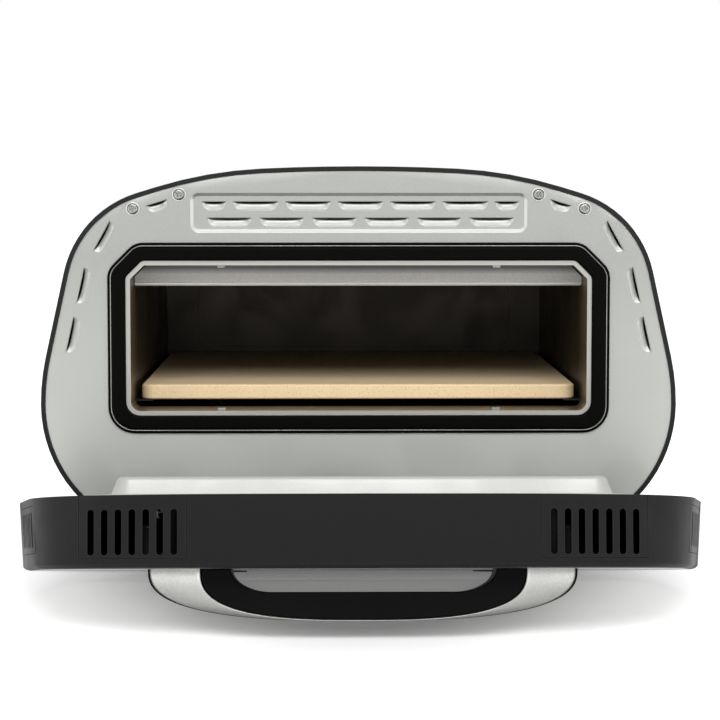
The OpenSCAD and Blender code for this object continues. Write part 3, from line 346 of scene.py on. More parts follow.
def outline_arcs():
    """The outline's arcs from the crown to the underside: centre, radius, first and last turn."""
    turns = [math.radians(turn) for turn in ARC_TURNS]
    spans = list(zip(ARC_RADII, turns, turns[1:]))
    run = BODY_HALF - sum(r * (math.sin(b) - math.sin(a)) for r, a, b in spans[:4])
    fall = ARC_RADII[4] + sum(r * (math.cos(a) - math.cos(b)) for r, a, b in spans[:4])
    drop = BODY_TOP - BODY_FOOT - fall
    roof_turn = turns[ROOF_ARC]
    side_turn = turns[FLANK_ARC]
    spread = math.sin(side_turn - roof_turn)
    straights = [0.0] * 5
    straights[ROOF_ARC] = (run * math.sin(side_turn) - drop * math.cos(side_turn)) / spread
    straights[FLANK_ARC] = (drop * math.cos(roof_turn) - run * math.sin(roof_turn)) / spread
    centre = Vector((0, BODY_TOP - ARC_RADII[0]))
    arcs = [(centre, *spans[0])]
    for k in range(1, 5):
        step = (ARC_RADII[k - 1] - ARC_RADII[k]) * heading(turns[k]) + straights[k] * along(turns[k])
        centre = centre + step
        arcs.append((centre, *spans[k]))
    return arcs


ARCS = outline_arcs()


def half_outline(inset):
    """The right half of the body's outline moved inward, from the crown to the underside."""
    points = []
    for centre, radius, first, last in ARCS:
        count = max(2, math.ceil(math.degrees(last - first) / ARC_STEP))
        for i in range(count + 1):
            point = centre + (radius - inset) * heading(first + (last - first) * i / count)
            if not points or (point - points[-1]).length > 0.05:
                points.append(point)
    return points


def both_halves(half):
    return half + [Vector((-point.x, point.y)) for point in reversed(half[1:])]


def beside(arc, turn, run, inset):
    """A place beside the outline, in from an arc where it has turned by an angle, then on by a run."""
    centre, radius = ARCS[arc][:2]
    turn = math.radians(turn)
    return centre + (radius - inset) * heading(turn) + run * along(turn)


def rounded_loop(corners, radii, steps=CORNER_STEPS):
    """A polygon with its corners rounded, each by the same number of points whatever its radius."""
    loop = []
    corners = [Vector(corner) for corner in corners]
    for k, (corner, radius) in enumerate(zip(corners, radii)):
        radius = max(radius, 0.02)
        before = (corners[k - 1] - corner).normalized()
        after = (corners[(k + 1) % len(corners)] - corner).normalized()
        half = before.angle(after) / 2
        middle = corner + (before + after).normalized() * radius / math.sin(half)
        start = corner + before * radius / math.tan(half) - middle
        end = corner + after * radius / math.tan(half) - middle
        first = math.atan2(start.y, start.x)
        turn = (math.atan2(end.y, end.x) - first + 3 * math.pi) % (2 * math.pi) - math.pi
        for i in range(steps + 1):
            angle = first + turn * i / steps
            loop.append(middle + radius * Vector((math.cos(angle), math.sin(angle))))
    return loop


def plate_loop(half, low, high, radius):
    return rounded_loop([(-half, low), (half, low), (half, high), (-half, high)], [radius] * 4)


def circle(radius, steps):
    turns = [2 * math.pi * i / steps for i in range(steps)]
    return [Vector((math.cos(turn), math.sin(turn))) * radius for turn in turns]


def mouth_loop(grow, cut, low_r, cut_r):
    """The mouth's rectangle moved outward, with rounded lower and chamfered upper corners."""
    half, low, high = MOUTH_HALF + grow, MOUTH_LOW - grow, MOUTH_HIGH + grow
    corners = [(-half, low), (half, low), (half, high - cut), (half - cut, high), (cut - half, high),
               (-half, high - cut)]
    return rounded_loop(corners, [low_r] * 2 + [cut_r] * 4)


def throat_loop(grow):
    """The mouth's opening, moved outward."""
    return mouth_loop(grow, MOUTH_CUT + grow * CHAMFER_GAIN, MOUTH_R + grow, MOUTH_CUT_R + grow)


def seal_loop(inset):
    """The seal's outer edge, moved inward."""
    return mouth_loop(FLANGE_W + SEAL_W - inset, SEAL_CUT - inset * CHAMFER_GAIN, SEAL_R - inset,
                      SEAL_CUT_R - inset)


# ---------------------------------------------------------------- meshes


def on_body(x, y, z):
    """A place given behind the front panel, in metres."""
    return Vector((x, FRONT_Y + y, z)) * MM


def on_door(x, y, z):
    """A place on the shut door, where the open door has it, in metres."""
    sin, cos = math.sin(DOOR_TURN), math.cos(DOOR_TURN)
    return Vector((x, HINGE_Y + y * cos - z * sin, HINGE_Z + y * sin + z * cos)) * MM


def as_drawn(x, y, z):
    return Vector((x, y, z)) * MM


def level(loop, y):
    """A loop in X and Z set at one depth."""
    return [(point.x, y, point.y) for point in loop]


def is_inside(point, loop):
    """Whether a point lies inside a loop, by the edges that a line to its right crosses."""
    crossings = 0
    for first, second in zip(loop, loop[1:] + loop[:1]):
        if (first.y > point.y) != (second.y > point.y):
            across = first.x + (second.x - first.x) * (point.y - first.y) / (second.y - first.y)
            crossings += point.x < across
    return crossings % 2 == 1


class Shape:
    """Points and faces that are gathered before they become one mesh."""

    def __init__(self):
        self.points = []
        self.faces = []

    def add(self, points, faces):
        start = len(self.points)
        self.points += points
        self.faces += [[start + index for index in face] for face in faces]

    def loft(self, rings, closed=True, looped=False, caps=False):
        """Joins rings of equal length by quads; looped joins the last ring to the first."""
        count = len(rings[0])
        points = [point for ring in rings for point in ring]
        faces = []
        for k in range(len(rings) if looped else len(rings) - 1):
            low = k * count
            high = (k + 1) % len(rings) * count
            for i in range(count if closed else count - 1):
                j = (i + 1) % count
                faces.append([low + i, low + j, high + j, high + i])
        if caps:
            faces.append(list(range(count))[::-1])
            faces.append([(len(rings) - 1) * count + i for i in range(count)])
        self.add(points, faces)

    def fill(self, outer, holes, y):
        """Fills a loop round its holes, all at one depth."""
        flat = []
        edges = []
        for loop in [outer, *holes]:
            start = len(flat)
            flat += [Vector(point) for point in loop]
            edges += [(start + i, start + (i + 1) % len(loop)) for i in range(len(loop))]
        points, _, faces = delaunay_2d_cdt(flat, edges, [], 1, 0.0005)[:3]
        kept = []
        for face in faces:
            middle = sum((points[index] for index in face), Vector((0, 0))) / len(face)
            if not any(is_inside(middle, hole) for hole in holes):
                kept.append(face)
        self.add(level(points, y), kept)

    def to_bmesh(self, place):
        bm = bmesh.new()
        made = [bm.verts.new(place(*point)) for point in self.points]
        for face in self.faces:
            corners = list(dict.fromkeys(made[index] for index in face))
            if len(corners) > 2:
                bm.faces.new(corners)
        return bm


def finish_mesh(bm, name, toward=None, crease=35.0):
    """Closes the seams, turns the faces outward or toward a side, and shades the mesh by angle."""
    bmesh.ops.remove_doubles(bm, verts=bm.verts, dist=MERGE)
    bmesh.ops.dissolve_degenerate(bm, edges=bm.edges, dist=MERGE)
    bmesh.ops.recalc_face_normals(bm, faces=bm.faces)
    if toward:
        facing = sum((face.normal * face.calc_area() for face in bm.faces), Vector())
        if facing.dot(Vector(toward)) < 0:
            bmesh.ops.reverse_faces(bm, faces=bm.faces)
    mesh = bpy.data.meshes.new(name)
    bm.to_mesh(mesh)
    bm.free()
    mesh.shade_smooth()
    mesh.set_sharp_from_angle(angle=math.radians(crease))
    return mesh


def lofted(name, rings, place, toward=None, crease=60.0, **joins):
    """The finished mesh of a single loft."""
    shape = Shape()
    shape.loft(rings, **joins)
    return finish_mesh(shape.to_bmesh(place), name, toward, crease)


def bevel(bm, edges, radius, segments):
    """Rounds some edges by a radius in millimetres."""
    bmesh.ops.bevel(bm, geom=edges, offset=radius * MM, offset_type="OFFSET", segments=segments,
                    profile=0.5, affect="EDGES", clamp_overlap=True)


def softened(node, radius, sharp=28.0):
    """A node's own shape with its loose triangles joined and its sharp edges rounded."""
    bm = bmesh.new()
    bm.from_mesh(frame["nodes"][node].data)
    bmesh.ops.remove_doubles(bm, verts=bm.verts, dist=MERGE / 2)
    bmesh.ops.dissolve_limit(bm, angle_limit=math.radians(0.5), verts=bm.verts, edges=bm.edges)
    inner = [edge for edge in bm.edges if len(edge.link_faces) == 2]
    edges = [edge for edge in inner if edge.calc_face_angle() > math.radians(sharp)]
    if edges and radius > 0:
        bevel(bm, edges, radius, 2)
    return finish_mesh(bm, "dressed_" + node, crease=50)


def add_piece(name, mesh, body, node, finish, thickness=0.0):
    """Shows a mesh with a finish on the body that it moves with, in place of a node if one is given."""
    piece = bpy.data.objects.new(name, mesh)
    bpy.context.scene.collection.objects.link(piece)
    mesh.materials.clear()
    mesh.materials.append(finish)
    if thickness:
        wall = piece.modifiers.new("Wall", "SOLIDIFY")
        wall.thickness = thickness * MM
        wall.offset = -1
        wall.use_even_offset = True
    shading = piece.modifiers.new("Flat faces", "WEIGHTED_NORMAL")
    shading.keep_sharp = True
    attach(piece, body)
    if node:
        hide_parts(node)


def slot_of(node):
    return next(part["material_slot"] for part in frame["record"]["subparts"] if part["node"] == node)


def body_of(node):
    bodies = frame["record"]["behaviour"]["bodies"]
    return next(body for body, nodes in bodies.items() if node in nodes)


def dress_softened(radii, finish=None):
    """Dresses nodes that keep their shape, each with the radius that rounds its edges, in millimetres."""
    for node, radius in radii.items():
        mesh = softened(node, radius)
        add_piece("dressed_" + node, mesh, body_of(node), node, finish or finish_of(slot_of(node)))


# ---------------------------------------------------------------- nodes

SOCKETS = {float: "Float", int: "Int", tuple: "Vector"}


def feed(tree, node, inputs):
    """Gives each input of a node its value, or links it from another node's socket."""
    for key, value in inputs.items():
        if isinstance(value, bpy.types.NodeSocket):
            tree.links.new(value, node.inputs[key])
        else:
            node.inputs[key].default_value = value


def add_node(tree, kind, inputs=None, **settings):
    node = tree.nodes.new(kind)
    for key, value in settings.items():
        setattr(node, key, value)
    feed(tree, node, inputs or {})
    return node


def worked_out(tree, operation, *values):
    """The result of a sum on numbers and sockets."""
    return add_node(tree, "ShaderNodeMath", dict(enumerate(values)), operation=operation).outputs[0]


def mapped(tree, value, first, last, low=0.0, high=1.0, **settings):
    """Maps a value's stretch between two numbers to the stretch between two others."""
    inputs = {"Value": value, "From Min": first, "From Max": last, "To Min": low, "To Max": high}
    return add_node(tree, "ShaderNodeMapRange", inputs, **settings).outputs["Result"]


def new_tree(name, kind, inputs, label, output):
    """A node tree with named inputs, each a default or a kind of socket, and one output; with its ends."""
    tree = bpy.data.node_groups.new(name, kind)
    for key, default in inputs.items():
        is_kind = isinstance(default, str)
        socket = default if is_kind else SOCKETS[type(default)]
        made = tree.interface.new_socket(key, in_out="INPUT", socket_type="NodeSocket" + socket)
        if not is_kind:
            made.default_value = default
    tree.interface.new_socket(label, in_out="OUTPUT", socket_type="NodeSocket" + output)
    return tree, tree.nodes.new("NodeGroupInput").outputs, tree.nodes.new("NodeGroupOutput").inputs[0]


def end_tree(tree, placed, finish, end):
    """Ends a tree of copies: they become one plain mesh with a finish."""
    real = add_node(tree, "GeometryNodeRealizeInstances", {0: placed.outputs[0]})
    inputs = {"Geometry": real.outputs[0], "Material": finish}
    tree.links.new(add_node(tree, "GeometryNodeSetMaterial", inputs).outputs[0], end)


def copies_tree():
    """Puts shapes from a collection on points, each picked and turned by the point's attributes."""
    tree, given, end = new_tree(
        "Placed copies", "GeometryNodeTree",
        {"Points": "Geometry", "Shapes": "Collection", "Size": 1.0, "Finish": "Material"},
        "Copies", "Geometry")
    shapes = add_node(tree, "GeometryNodeCollectionInfo", {
        "Collection": given["Shapes"], "Separate Children": True, "Reset Children": True})
    kind = add_node(tree, "GeometryNodeInputNamedAttribute", {"Name": "kind"}, data_type="INT")
    turn = add_node(tree, "GeometryNodeInputNamedAttribute", {"Name": "turn"}, data_type="FLOAT_VECTOR")
    placed = add_node(tree, "GeometryNodeInstanceOnPoints", {
        "Points": given["Points"], "Instance": shapes.outputs[0], "Pick Instance": True,
        "Instance Index": kind.outputs["Attribute"], "Rotation": turn.outputs["Attribute"],
        "Scale": given["Size"]})
    end_tree(tree, placed, given["Finish"], end)
    return tree


def tick_tree():
    """A ring of ticks on part of a circle round the origin, in the plane square to Y."""
    tree, given, end = new_tree(
        "Dial ticks", "GeometryNodeTree",
        {"Count": 11, "Radius": 0.02, "Start": 0.0, "Sweep": 4.7, "Tick": (0.0006, 0.0002, 0.003),
         "Finish": "Material"},
        "Ticks", "Geometry")
    line = add_node(tree, "GeometryNodeMeshLine", {"Count": given["Count"]})
    index = add_node(tree, "GeometryNodeInputIndex")
    part = worked_out(tree, "DIVIDE", index.outputs[0], worked_out(tree, "SUBTRACT", given["Count"], 1))
    angle = worked_out(tree, "MULTIPLY_ADD", part, given["Sweep"], given["Start"])
    across = worked_out(tree, "MULTIPLY", worked_out(tree, "SINE", angle), given["Radius"])
    upward = worked_out(tree, "MULTIPLY", worked_out(tree, "COSINE", angle), given["Radius"])
    spot = add_node(tree, "ShaderNodeCombineXYZ", {"X": across, "Z": upward})
    turn = add_node(tree, "ShaderNodeCombineXYZ", {"Y": angle})
    moved = add_node(tree, "GeometryNodeSetPosition", {
        "Geometry": line.outputs[0], "Position": spot.outputs[0]})
    tick = add_node(tree, "GeometryNodeMeshCube", {"Size": given["Tick"]})
    placed = add_node(tree, "GeometryNodeInstanceOnPoints", {
        "Points": moved.outputs[0], "Instance": tick.outputs["Mesh"], "Rotation": turn.outputs[0]})
    end_tree(tree, placed, given["Finish"], end)
    return tree


def grown_mesh(tree, values, start=None):
    """The plain mesh that a tree makes from a start mesh with the given inputs."""
    source = bpy.data.objects.new("growing", start or bpy.data.meshes.new("start"))
    bpy.context.scene.collection.objects.link(source)
    modifier = source.modifiers.new("Growth", "NODES")
    modifier.node_group = tree
    for item in tree.interface.items_tree:
        if item.in_out == "INPUT" and item.name in values:
            modifier[item.identifier] = values[item.name]
    source.update_tag()
    graph = bpy.context.evaluated_depsgraph_get()
    graph.update()
    mesh = bpy.data.meshes.new_from_object(source.evaluated_get(graph))
    source.modifiers.remove(modifier)
    bpy.data.objects.remove(source)
    return mesh


def copies_mesh(shapes, places, finish):
    """One mesh of copies; each place has its point in metres, its turn and the number of its shape."""
    holder = bpy.data.collections.new("shapes")
    bpy.context.scene.collection.children.link(holder)
    for number, mesh in enumerate(shapes):
        holder.objects.link(bpy.data.objects.new("shape_%02d" % number, mesh))
    start = bpy.data.meshes.new("places")
    start.from_pydata([point for point, _, _ in places], [], [])
    start.attributes.new("turn", "FLOAT_VECTOR", "POINT")
    start.attributes.new("kind", "INT", "POINT")
    for number, (_, turn, kind) in enumerate(places):
        start.attributes["turn"].data[number].vector = turn
        start.attributes["kind"].data[number].value = kind
    tree = bpy.data.node_groups.get("Placed copies") or copies_tree()
    mesh = grown_mesh(tree, {"Shapes": holder, "Size": 1.0, "Finish": finish}, start)
    for item in list(holder.objects):
        bpy.data.objects.remove(item)
    bpy.data.collections.remove(holder)
    return mesh


# ---------------------------------------------------------------- finishes


def fine_grain(tree, given):
    """Fine even grain, as on cast and moulded surfaces."""
    noise = add_node(tree, "ShaderNodeTexNoise", {
        "Vector": given["Vector"], "Scale": given["Scale"], "Detail": given["Detail"]})
    return mapped(tree, noise.outputs[0], 0.32, 0.68)


def metal_flake(tree, given):
    """Metal flakes in a coating: small cells of random brightness over a soft mottle."""
    cells = add_node(tree, "ShaderNodeTexVoronoi", {"Vector": given["Vector"], "Scale": given["Scale"]})
    tone = add_node(tree, "ShaderNodeSeparateColor", {0: cells.outputs["Color"]})
    coarse = worked_out(tree, "MULTIPLY", given["Scale"], 0.3)
    mottle = add_node(tree, "ShaderNodeTexNoise", {
        "Vector": given["Vector"], "Scale": coarse, "Detail": given["Detail"]})
    return add_node(tree, "ShaderNodeMix", {0: 0.45, 2: tone.outputs[0], 3: mottle.outputs[0]}).outputs[0]


def brushed_lines(tree, given):
    """Long fine lines along X, as on brushed sheet."""
    drawn = add_node(tree, "ShaderNodeMapping", {"Vector": given["Vector"], "Scale": (0.012, 1, 1)})
    noise = add_node(tree, "ShaderNodeTexNoise", {
        "Vector": drawn.outputs[0], "Scale": given["Scale"], "Detail": given["Detail"]})
    return mapped(tree, noise.outputs[0], 0.3, 0.7)


def smudges(tree, given):
    """Broad soft patches, as handling and heat leave on a surface."""
    noise = add_node(tree, "ShaderNodeTexNoise", {
        "Vector": given["Vector"], "Scale": given["Scale"], "Detail": 5.0, "Distortion": 0.6})
    return mapped(tree, noise.outputs[0], 0.38, 0.66, interpolation_type="SMOOTHSTEP")


def wear_and_sheen_edges(tree, given):
    """A mask that is strong along rounded edges, where hands and cloths polish a surface and where a painted
    sheen lights it.
    """
    rounded = add_node(tree, "ShaderNodeBevel", {"Radius": given["Radius"]}, samples=4)
    facing = add_node(tree, "ShaderNodeNewGeometry")
    alike = add_node(tree, "ShaderNodeVectorMath", {0: rounded.outputs[0], 1: facing.outputs["Normal"]},
                     operation="DOT_PRODUCT")
    return mapped(tree, alike.outputs["Value"], 0.995, 0.9)


ORIGIN = (0.0, 0.0, 0.0)
# Each shared effect with the inputs of its node group.
EFFECTS = {
    "Fine grain": (fine_grain, {"Vector": ORIGIN, "Scale": 900.0, "Detail": 3.0}),
    "Metal flake": (metal_flake, {"Vector": ORIGIN, "Scale": 2200.0, "Detail": 2.0}),
    "Brushed lines": (brushed_lines, {"Vector": ORIGIN, "Scale": 2600.0, "Detail": 4.0}),
    "Smudges": (smudges, {"Vector": ORIGIN, "Scale": 18.0}),
    "Wear and sheen edges": (wear_and_sheen_edges, {"Radius": 0.0012}),
}


def effect_group(name):
    """The node group of a shared effect, built when it is first used."""
    if name not in bpy.data.node_groups:
        effect, inputs = EFFECTS[name]
        tree, given, end = new_tree(name, "ShaderNodeTree", inputs, "Mask", "Float")
        tree.links.new(effect(tree, given), end)
    return bpy.data.node_groups[name]


def effect_mask(tree, name, **inputs):
    """The mask of a shared effect, placed in a material with its own values."""
    return add_node(tree, "ShaderNodeGroup", inputs, node_tree=effect_group(name)).outputs["Mask"]


def blank_material(name):
    """A material with its tree, its shader and the place on the object."""
    material = bpy.data.materials.new(name)
    material.use_nodes = True
    tree = material.node_tree
    place = add_node(tree, "ShaderNodeTexCoord", name="Place").outputs["Object"]
    return material, tree, tree.nodes["Principled BSDF"], place


def opened(material):
    """A finish's tree, shader, place on the object and the colour that it has so far."""
    tree = material.node_tree
    shader = tree.nodes["Principled BSDF"]
    place = tree.nodes["Place"].outputs["Object"]
    return tree, shader, place, shader.inputs["Base Color"].links[0].from_socket


def colour_mix(tree, factor, first, second):
    """Mixes two colours by a mask; a colour may be a plain value or another node's socket."""
    ends = [end if isinstance(end, bpy.types.NodeSocket) else (*end, 1) for end in (first, second)]
    return add_node(tree, "ShaderNodeMix", {0: factor, 6: ends[0], 7: ends[1]}, data_type="RGBA").outputs[2]


def relief(tree, height, strength, depth):
    """The normal of a surface that a mask raises, by a depth in millimetres."""
    inputs = {"Height": height, "Strength": strength, "Distance": depth * MM}
    return add_node(tree, "ShaderNodeBump", inputs).outputs[0]


def axis_mask(tree, vector, axis, first, last):
    """A mask that rises between two values of one part of a vector."""
    axes = add_node(tree, "ShaderNodeSeparateXYZ", {0: vector})
    return mapped(tree, axes.outputs[axis], first, last)


def height_mask(tree, place, first, last):
    """A mask that rises between two heights, in millimetres."""
    return axis_mask(tree, place, "Z", first * MM, last * MM)


def depth_mask(tree, place, first, last):
    """A mask that rises between two depths behind the front panel, in millimetres."""
    return axis_mask(tree, place, "Y", (FRONT_Y + first) * MM, (FRONT_Y + last) * MM)


def shade(colour, factor):
    return tuple(min(1.0, part * factor) for part in colour)


def surface(name, colour, roughness, metallic=0.0, grain="Fine grain", scale=900.0, contrast=0.08,
            bump=0.02, smudge=0.05, edges=0.0, spread=0.06, specular=0.5):
    """A finish with grain, smudges and edges lightened partly by wear and partly by a painted sheen, in its
    colour, its gloss and its relief.
    """
    material, tree, shader, place = blank_material(name)
    fine = effect_mask(tree, grain, Vector=place, Scale=scale)
    broad = effect_mask(tree, "Smudges", Vector=place, Scale=16.0)
    base = colour_mix(tree, fine, shade(colour, 1 - contrast), shade(colour, 1 + contrast))
    base = colour_mix(tree, mapped(tree, broad, 0, 1, 0, smudge), base, shade(colour, 0.6))
    # Edges are lightened, partly as rubbed wear and partly as a painted highlight.
    if edges:
        wear_and_sheen = mapped(tree, effect_mask(tree, "Wear and sheen edges"), 0, 1, 0, edges)
        base = colour_mix(tree, wear_and_sheen, base, tuple(part * 0.6 + 0.12 for part in colour))
    feed(tree, shader, {
        "Base Color": base, "Roughness": mapped(tree, broad, 0, 1, roughness - spread, roughness + spread),
        "Metallic": metallic, "Specular IOR Level": specular, "Normal": relief(tree, fine, 0.6, bump)})
    return material


def brushed(name, colour):
    return surface(name, colour, 0.34, metallic=1.0, grain="Brushed lines", contrast=0.1, bump=0.006)


def panel_finish(colours):
    """Satin pressed steel, with a painted highlight where it faces up or to the side, and painted light that
    makes it paler toward the foot.
    """
    material = surface("satin_silver", colours.panel, 0.46, metallic=0.5, grain="Metal flake",
                       scale=2200.0, contrast=0.07, bump=0.004, smudge=0.06)
    tree, shader, place, own = opened(material)
    # Painted light: the sheet is 1.45 times paler below 80 mm and blends back to its own colour by 240 mm.
    raised = height_mask(tree, place, 80.0, 240.0)
    painted_light_panel = colour_mix(tree, raised, shade(colours.panel, 1.45), own)
    # Painted highlight: faces turned upward or sideways are blended toward near white.
    facing = add_node(tree, "ShaderNodeNewGeometry").outputs["True Normal"]
    sideways = add_node(tree, "ShaderNodeVectorMath", {0: facing}, operation="ABSOLUTE").outputs[0]
    for direction, axis, first, last in ((facing, "Z", 0.2, 0.75), (sideways, "X", 0.4, 0.9)):
        turned = axis_mask(tree, direction, axis, first, last)
        painted_light_panel = colour_mix(tree, turned, painted_light_panel, linear(240, 241, 238))
    feed(tree, shader, {"Base Color": painted_light_panel})
    return material


def flare_finish(colours):
    """The handle's brushed shell, with painted shade darkening it where it curls under toward the bezel."""
    material = brushed("brushed_flare", colours.face)
    tree, shader, place, own = opened(material)
    low = node_box("handle_shell")[0].z
    # Painted shade: the sheet darkens to 0.3 of its colour toward its lowest edge, over its lowest 15 mm.
    clear = height_mask(tree, place, low + 2.0, low + 15.0)
    feed(tree, shader, {"Base Color": colour_mix(tree, clear, shade(colours.face, 0.3), own)})
    return material


def liner_finish(colours):
    """The cavity's liner: bright where it is folded over the front, heat-tinted brown behind, with painted
    light that brightens the brown near the mouth and fades deeper in.
    """
    material = surface("liner_enamel", colours.liner, 0.42, scale=1400.0, contrast=0.25, bump=0.015,
                       smudge=0.3)
    tree, shader, place, own = opened(material)
    behind = depth_mask(tree, place, 1.4, 2.2)
    # Painted light: the brown is brightened 4.5 times just behind the flange and fades to its own colour by
    # 60 mm deep.
    tinted = depth_mask(tree, place, 4.0, 60.0)
    painted_light_liner = colour_mix(tree, tinted, shade(colours.liner, 4.5), own)
    feed(tree, shader, {"Base Color": colour_mix(tree, behind, linear(168, 166, 161), painted_light_liner),
                        "Metallic": mapped(tree, behind, 0, 1, 0.85, 0.35)})
    return material


def deflector_finish(colours):
    """The deflector's satin steel, with painted shadow darkening its upper edge under the mouth's top and a
    painted highlight making its lip pale.
    """
    material = surface("satin_deflector", colours.deflector, 0.42, metallic=0.35, scale=1500.0,
                       contrast=0.16, smudge=0.12)
    tree, shader, place, own = opened(material)
    # Painted shadow: the upper edge, under the mouth's top, darkens to a quarter of its colour.
    painted_shadow_mask = height_mask(tree, place, MOUTH_HIGH - 8.0, MOUTH_HIGH - 3.0)
    low = node_box("heat_deflector")[0].z
    # Painted highlight: the lowest 3 mm, the rolled lip, is blended to near white.
    plain = height_mask(tree, place, low + 1.5, low + 3.0)
    painted_shadow_deflector = colour_mix(tree, painted_shadow_mask, own, shade(colours.deflector, 0.25))
    feed(tree, shader, {"Base Color": colour_mix(tree, plain, linear(252, 251, 247), painted_shadow_deflector)})
    return material


def stone_finish(colours):
    """Cream fired stone: sandy speckle, fine pores darkened with painted shade, and a dry matte face."""
    material, tree, shader, place = blank_material("fired_stone")
    sand = effect_mask(tree, "Fine grain", Vector=place, Scale=1500.0, Detail=4.0)
    cloud = effect_mask(tree, "Smudges", Vector=place, Scale=22.0)
    pores = add_node(tree, "ShaderNodeTexVoronoi", {"Vector": place, "Scale": 420.0})
    hollow = mapped(tree, pores.outputs["Distance"], 0.12, 0.3)
    base = colour_mix(tree, sand, shade(colours.stone, 0.9), shade(colours.stone, 1.06))
    base = colour_mix(tree, mapped(tree, cloud, 0, 1, 0, 0.2), base, shade(colours.stone, 0.82))
    # Painted shade: the middle of each pore is mixed toward a darker stone.
    painted_pore_shade = worked_out(tree, "MULTIPLY_ADD", hollow, 0.4, 0.6)
    feed(tree, shader, {
        "Base Color": colour_mix(tree, painted_pore_shade, shade(colours.stone, 0.45), base),
        "Roughness": mapped(tree, sand, 0, 1, 0.8, 0.95),
        "Normal": relief(tree, worked_out(tree, "ADD", hollow, sand), 0.5, 0.08)})
    return material


def glass_finish():
    """Lightly tinted window glass with a faint film over it."""
    material, tree, shader, place = blank_material("window_pane")
    film = effect_mask(tree, "Smudges", Vector=place, Scale=7.0)
    feed(tree, shader, {
        "Base Color": colour_mix(tree, film, (0.42, 0.38, 0.34), (0.38, 0.35, 0.32)),
        "Roughness": mapped(tree, film, 0, 1, 0.02, 0.035), "Transmission Weight": 1.0, "IOR": 1.5})
    return material


def build_finishes(colours):
    """One finish for each of the record's material slots and for a few pieces, by name."""
    made = {
        "shell_paint": surface("shell_coat", colours.shell, 0.44, scale=1500.0, contrast=0.25, bump=0.03,
                               smudge=0.02, edges=0.1, spread=0.012, specular=0.2),
        "pressed_steel": panel_finish(colours),
        "tray_steel": surface("satin_tray", linear(186, 187, 183), 0.5, metallic=0.4, grain="Metal flake",
                              scale=2200.0, contrast=0.06, bump=0.004, smudge=0.08),
        # The screw seats' pale satin is a painted highlight round each front screw.
        "rim_steel": surface("burnished_rim", linear(222, 223, 220), 0.4, metallic=0.3, contrast=0.03),
        "face_steel": brushed("brushed_steel", colours.face),
        "flare_steel": flare_finish(colours),
        "liner_metal": liner_finish(colours),
        "deflector_steel": deflector_finish(colours),
        "stone": stone_finish(colours),
        "element_sheath": surface("heater_sheath", linear(84, 80, 76), 0.5, metallic=0.7, contrast=0.2,
                                  smudge=0.5),
        "zinc_steel": surface("zinc_plate", linear(176, 177, 172), 0.36, metallic=1.0, scale=260.0,
                              contrast=0.12, smudge=0.25),
        "screw_steel": surface("bright_screw", linear(150, 150, 147), 0.32, metallic=1.0, scale=1400.0,
                               contrast=0.35, smudge=0.4),
        "ceramic_white": surface("steatite", linear(226, 219, 200), 0.6, scale=1100.0, smudge=0.2),
        "mineral_wool": surface("mineral_wool", linear(214, 204, 176), 0.95, grain="Brushed lines",
                                contrast=0.3, bump=0.4, smudge=0.3),
        "seal_rubber": surface("seal_rubber", colours.seal, 0.55, scale=1300.0, contrast=0.3,
                               specular=0.03),
        "black_moulding": surface("dark_moulding", colours.moulding, 0.5, scale=2000.0, contrast=0.22,
                                  edges=0.1, specular=0.12),
        "handle_black": surface("handle_plastic", colours.grip, 0.4, scale=1800.0, contrast=0.2,
                                bump=0.012, specular=0.06),
        "blackened": surface("blackened_steel", linear(34, 33, 32), 0.5, metallic=0.6, contrast=0.2,
                             smudge=0.3),
        "window_glass": glass_finish(),
        "tick_ink": surface("tick_ink", linear(225, 225, 222), 0.6, contrast=0.05),
    }
    for slot, material in made.items():
        material["slot"] = slot
    return made


def finish_of(slot):
    return next(material for material in bpy.data.materials if material.get("slot") == slot)


# ---------------------------------------------------------------- front panel


def louvre_places():
    """Each louvre's place, length, turn and the depth of the sheet that it is pressed into."""
    rows = [(i * LOUVRE_PITCH, UPPER_ROW, UPPER_L) for i in range(-2, 3)]
    rows += [(side * END_AT * LOUVRE_PITCH, UPPER_ROW, END_L) for side in (-1, 1)]
    rows += [((i - 2.5) * LOUVRE_PITCH, LOWER_ROW, LOWER_L) for i in range(6)]
    places = [(Vector((x + ROW_SHIFT, z)), length, 0.0, FIELD_D) for x, z, length in rows]
    for side in (-1, 1):
        for arc, turn, run, inset, length, tilt in EDGE_LOUVRES:
            point = beside(arc, turn, run, inset)
            places.append((Vector((side * point.x, point.y)), length, side * math.radians(tilt), 0.0))
    return places


def louvre_half_width(length, height, grow):
    """Half of a louvre's width at a height above its lower edge: straight sides, round corners below."""
    radius = LOUVRE_R + grow
    half = length / 2 + grow
    if height >= radius:
        return half
    return half - radius + math.sqrt(max(0.0, radius * radius - (radius - height) ** 2))


def louvre_rim(length, grow):
    """A louvre's edge as a loop: up its left side from the middle of the bottom, over and down."""
    right = []
    for row in LOUVRE_ROWS:
        height = row * (LOUVRE_H + 2 * grow) / LOUVRE_H
        right.append(Vector((louvre_half_width(length, height, grow), height - grow - LOUVRE_H / 2)))
    return [Vector((-point.x, point.y)) for point in right] + right[::-1]


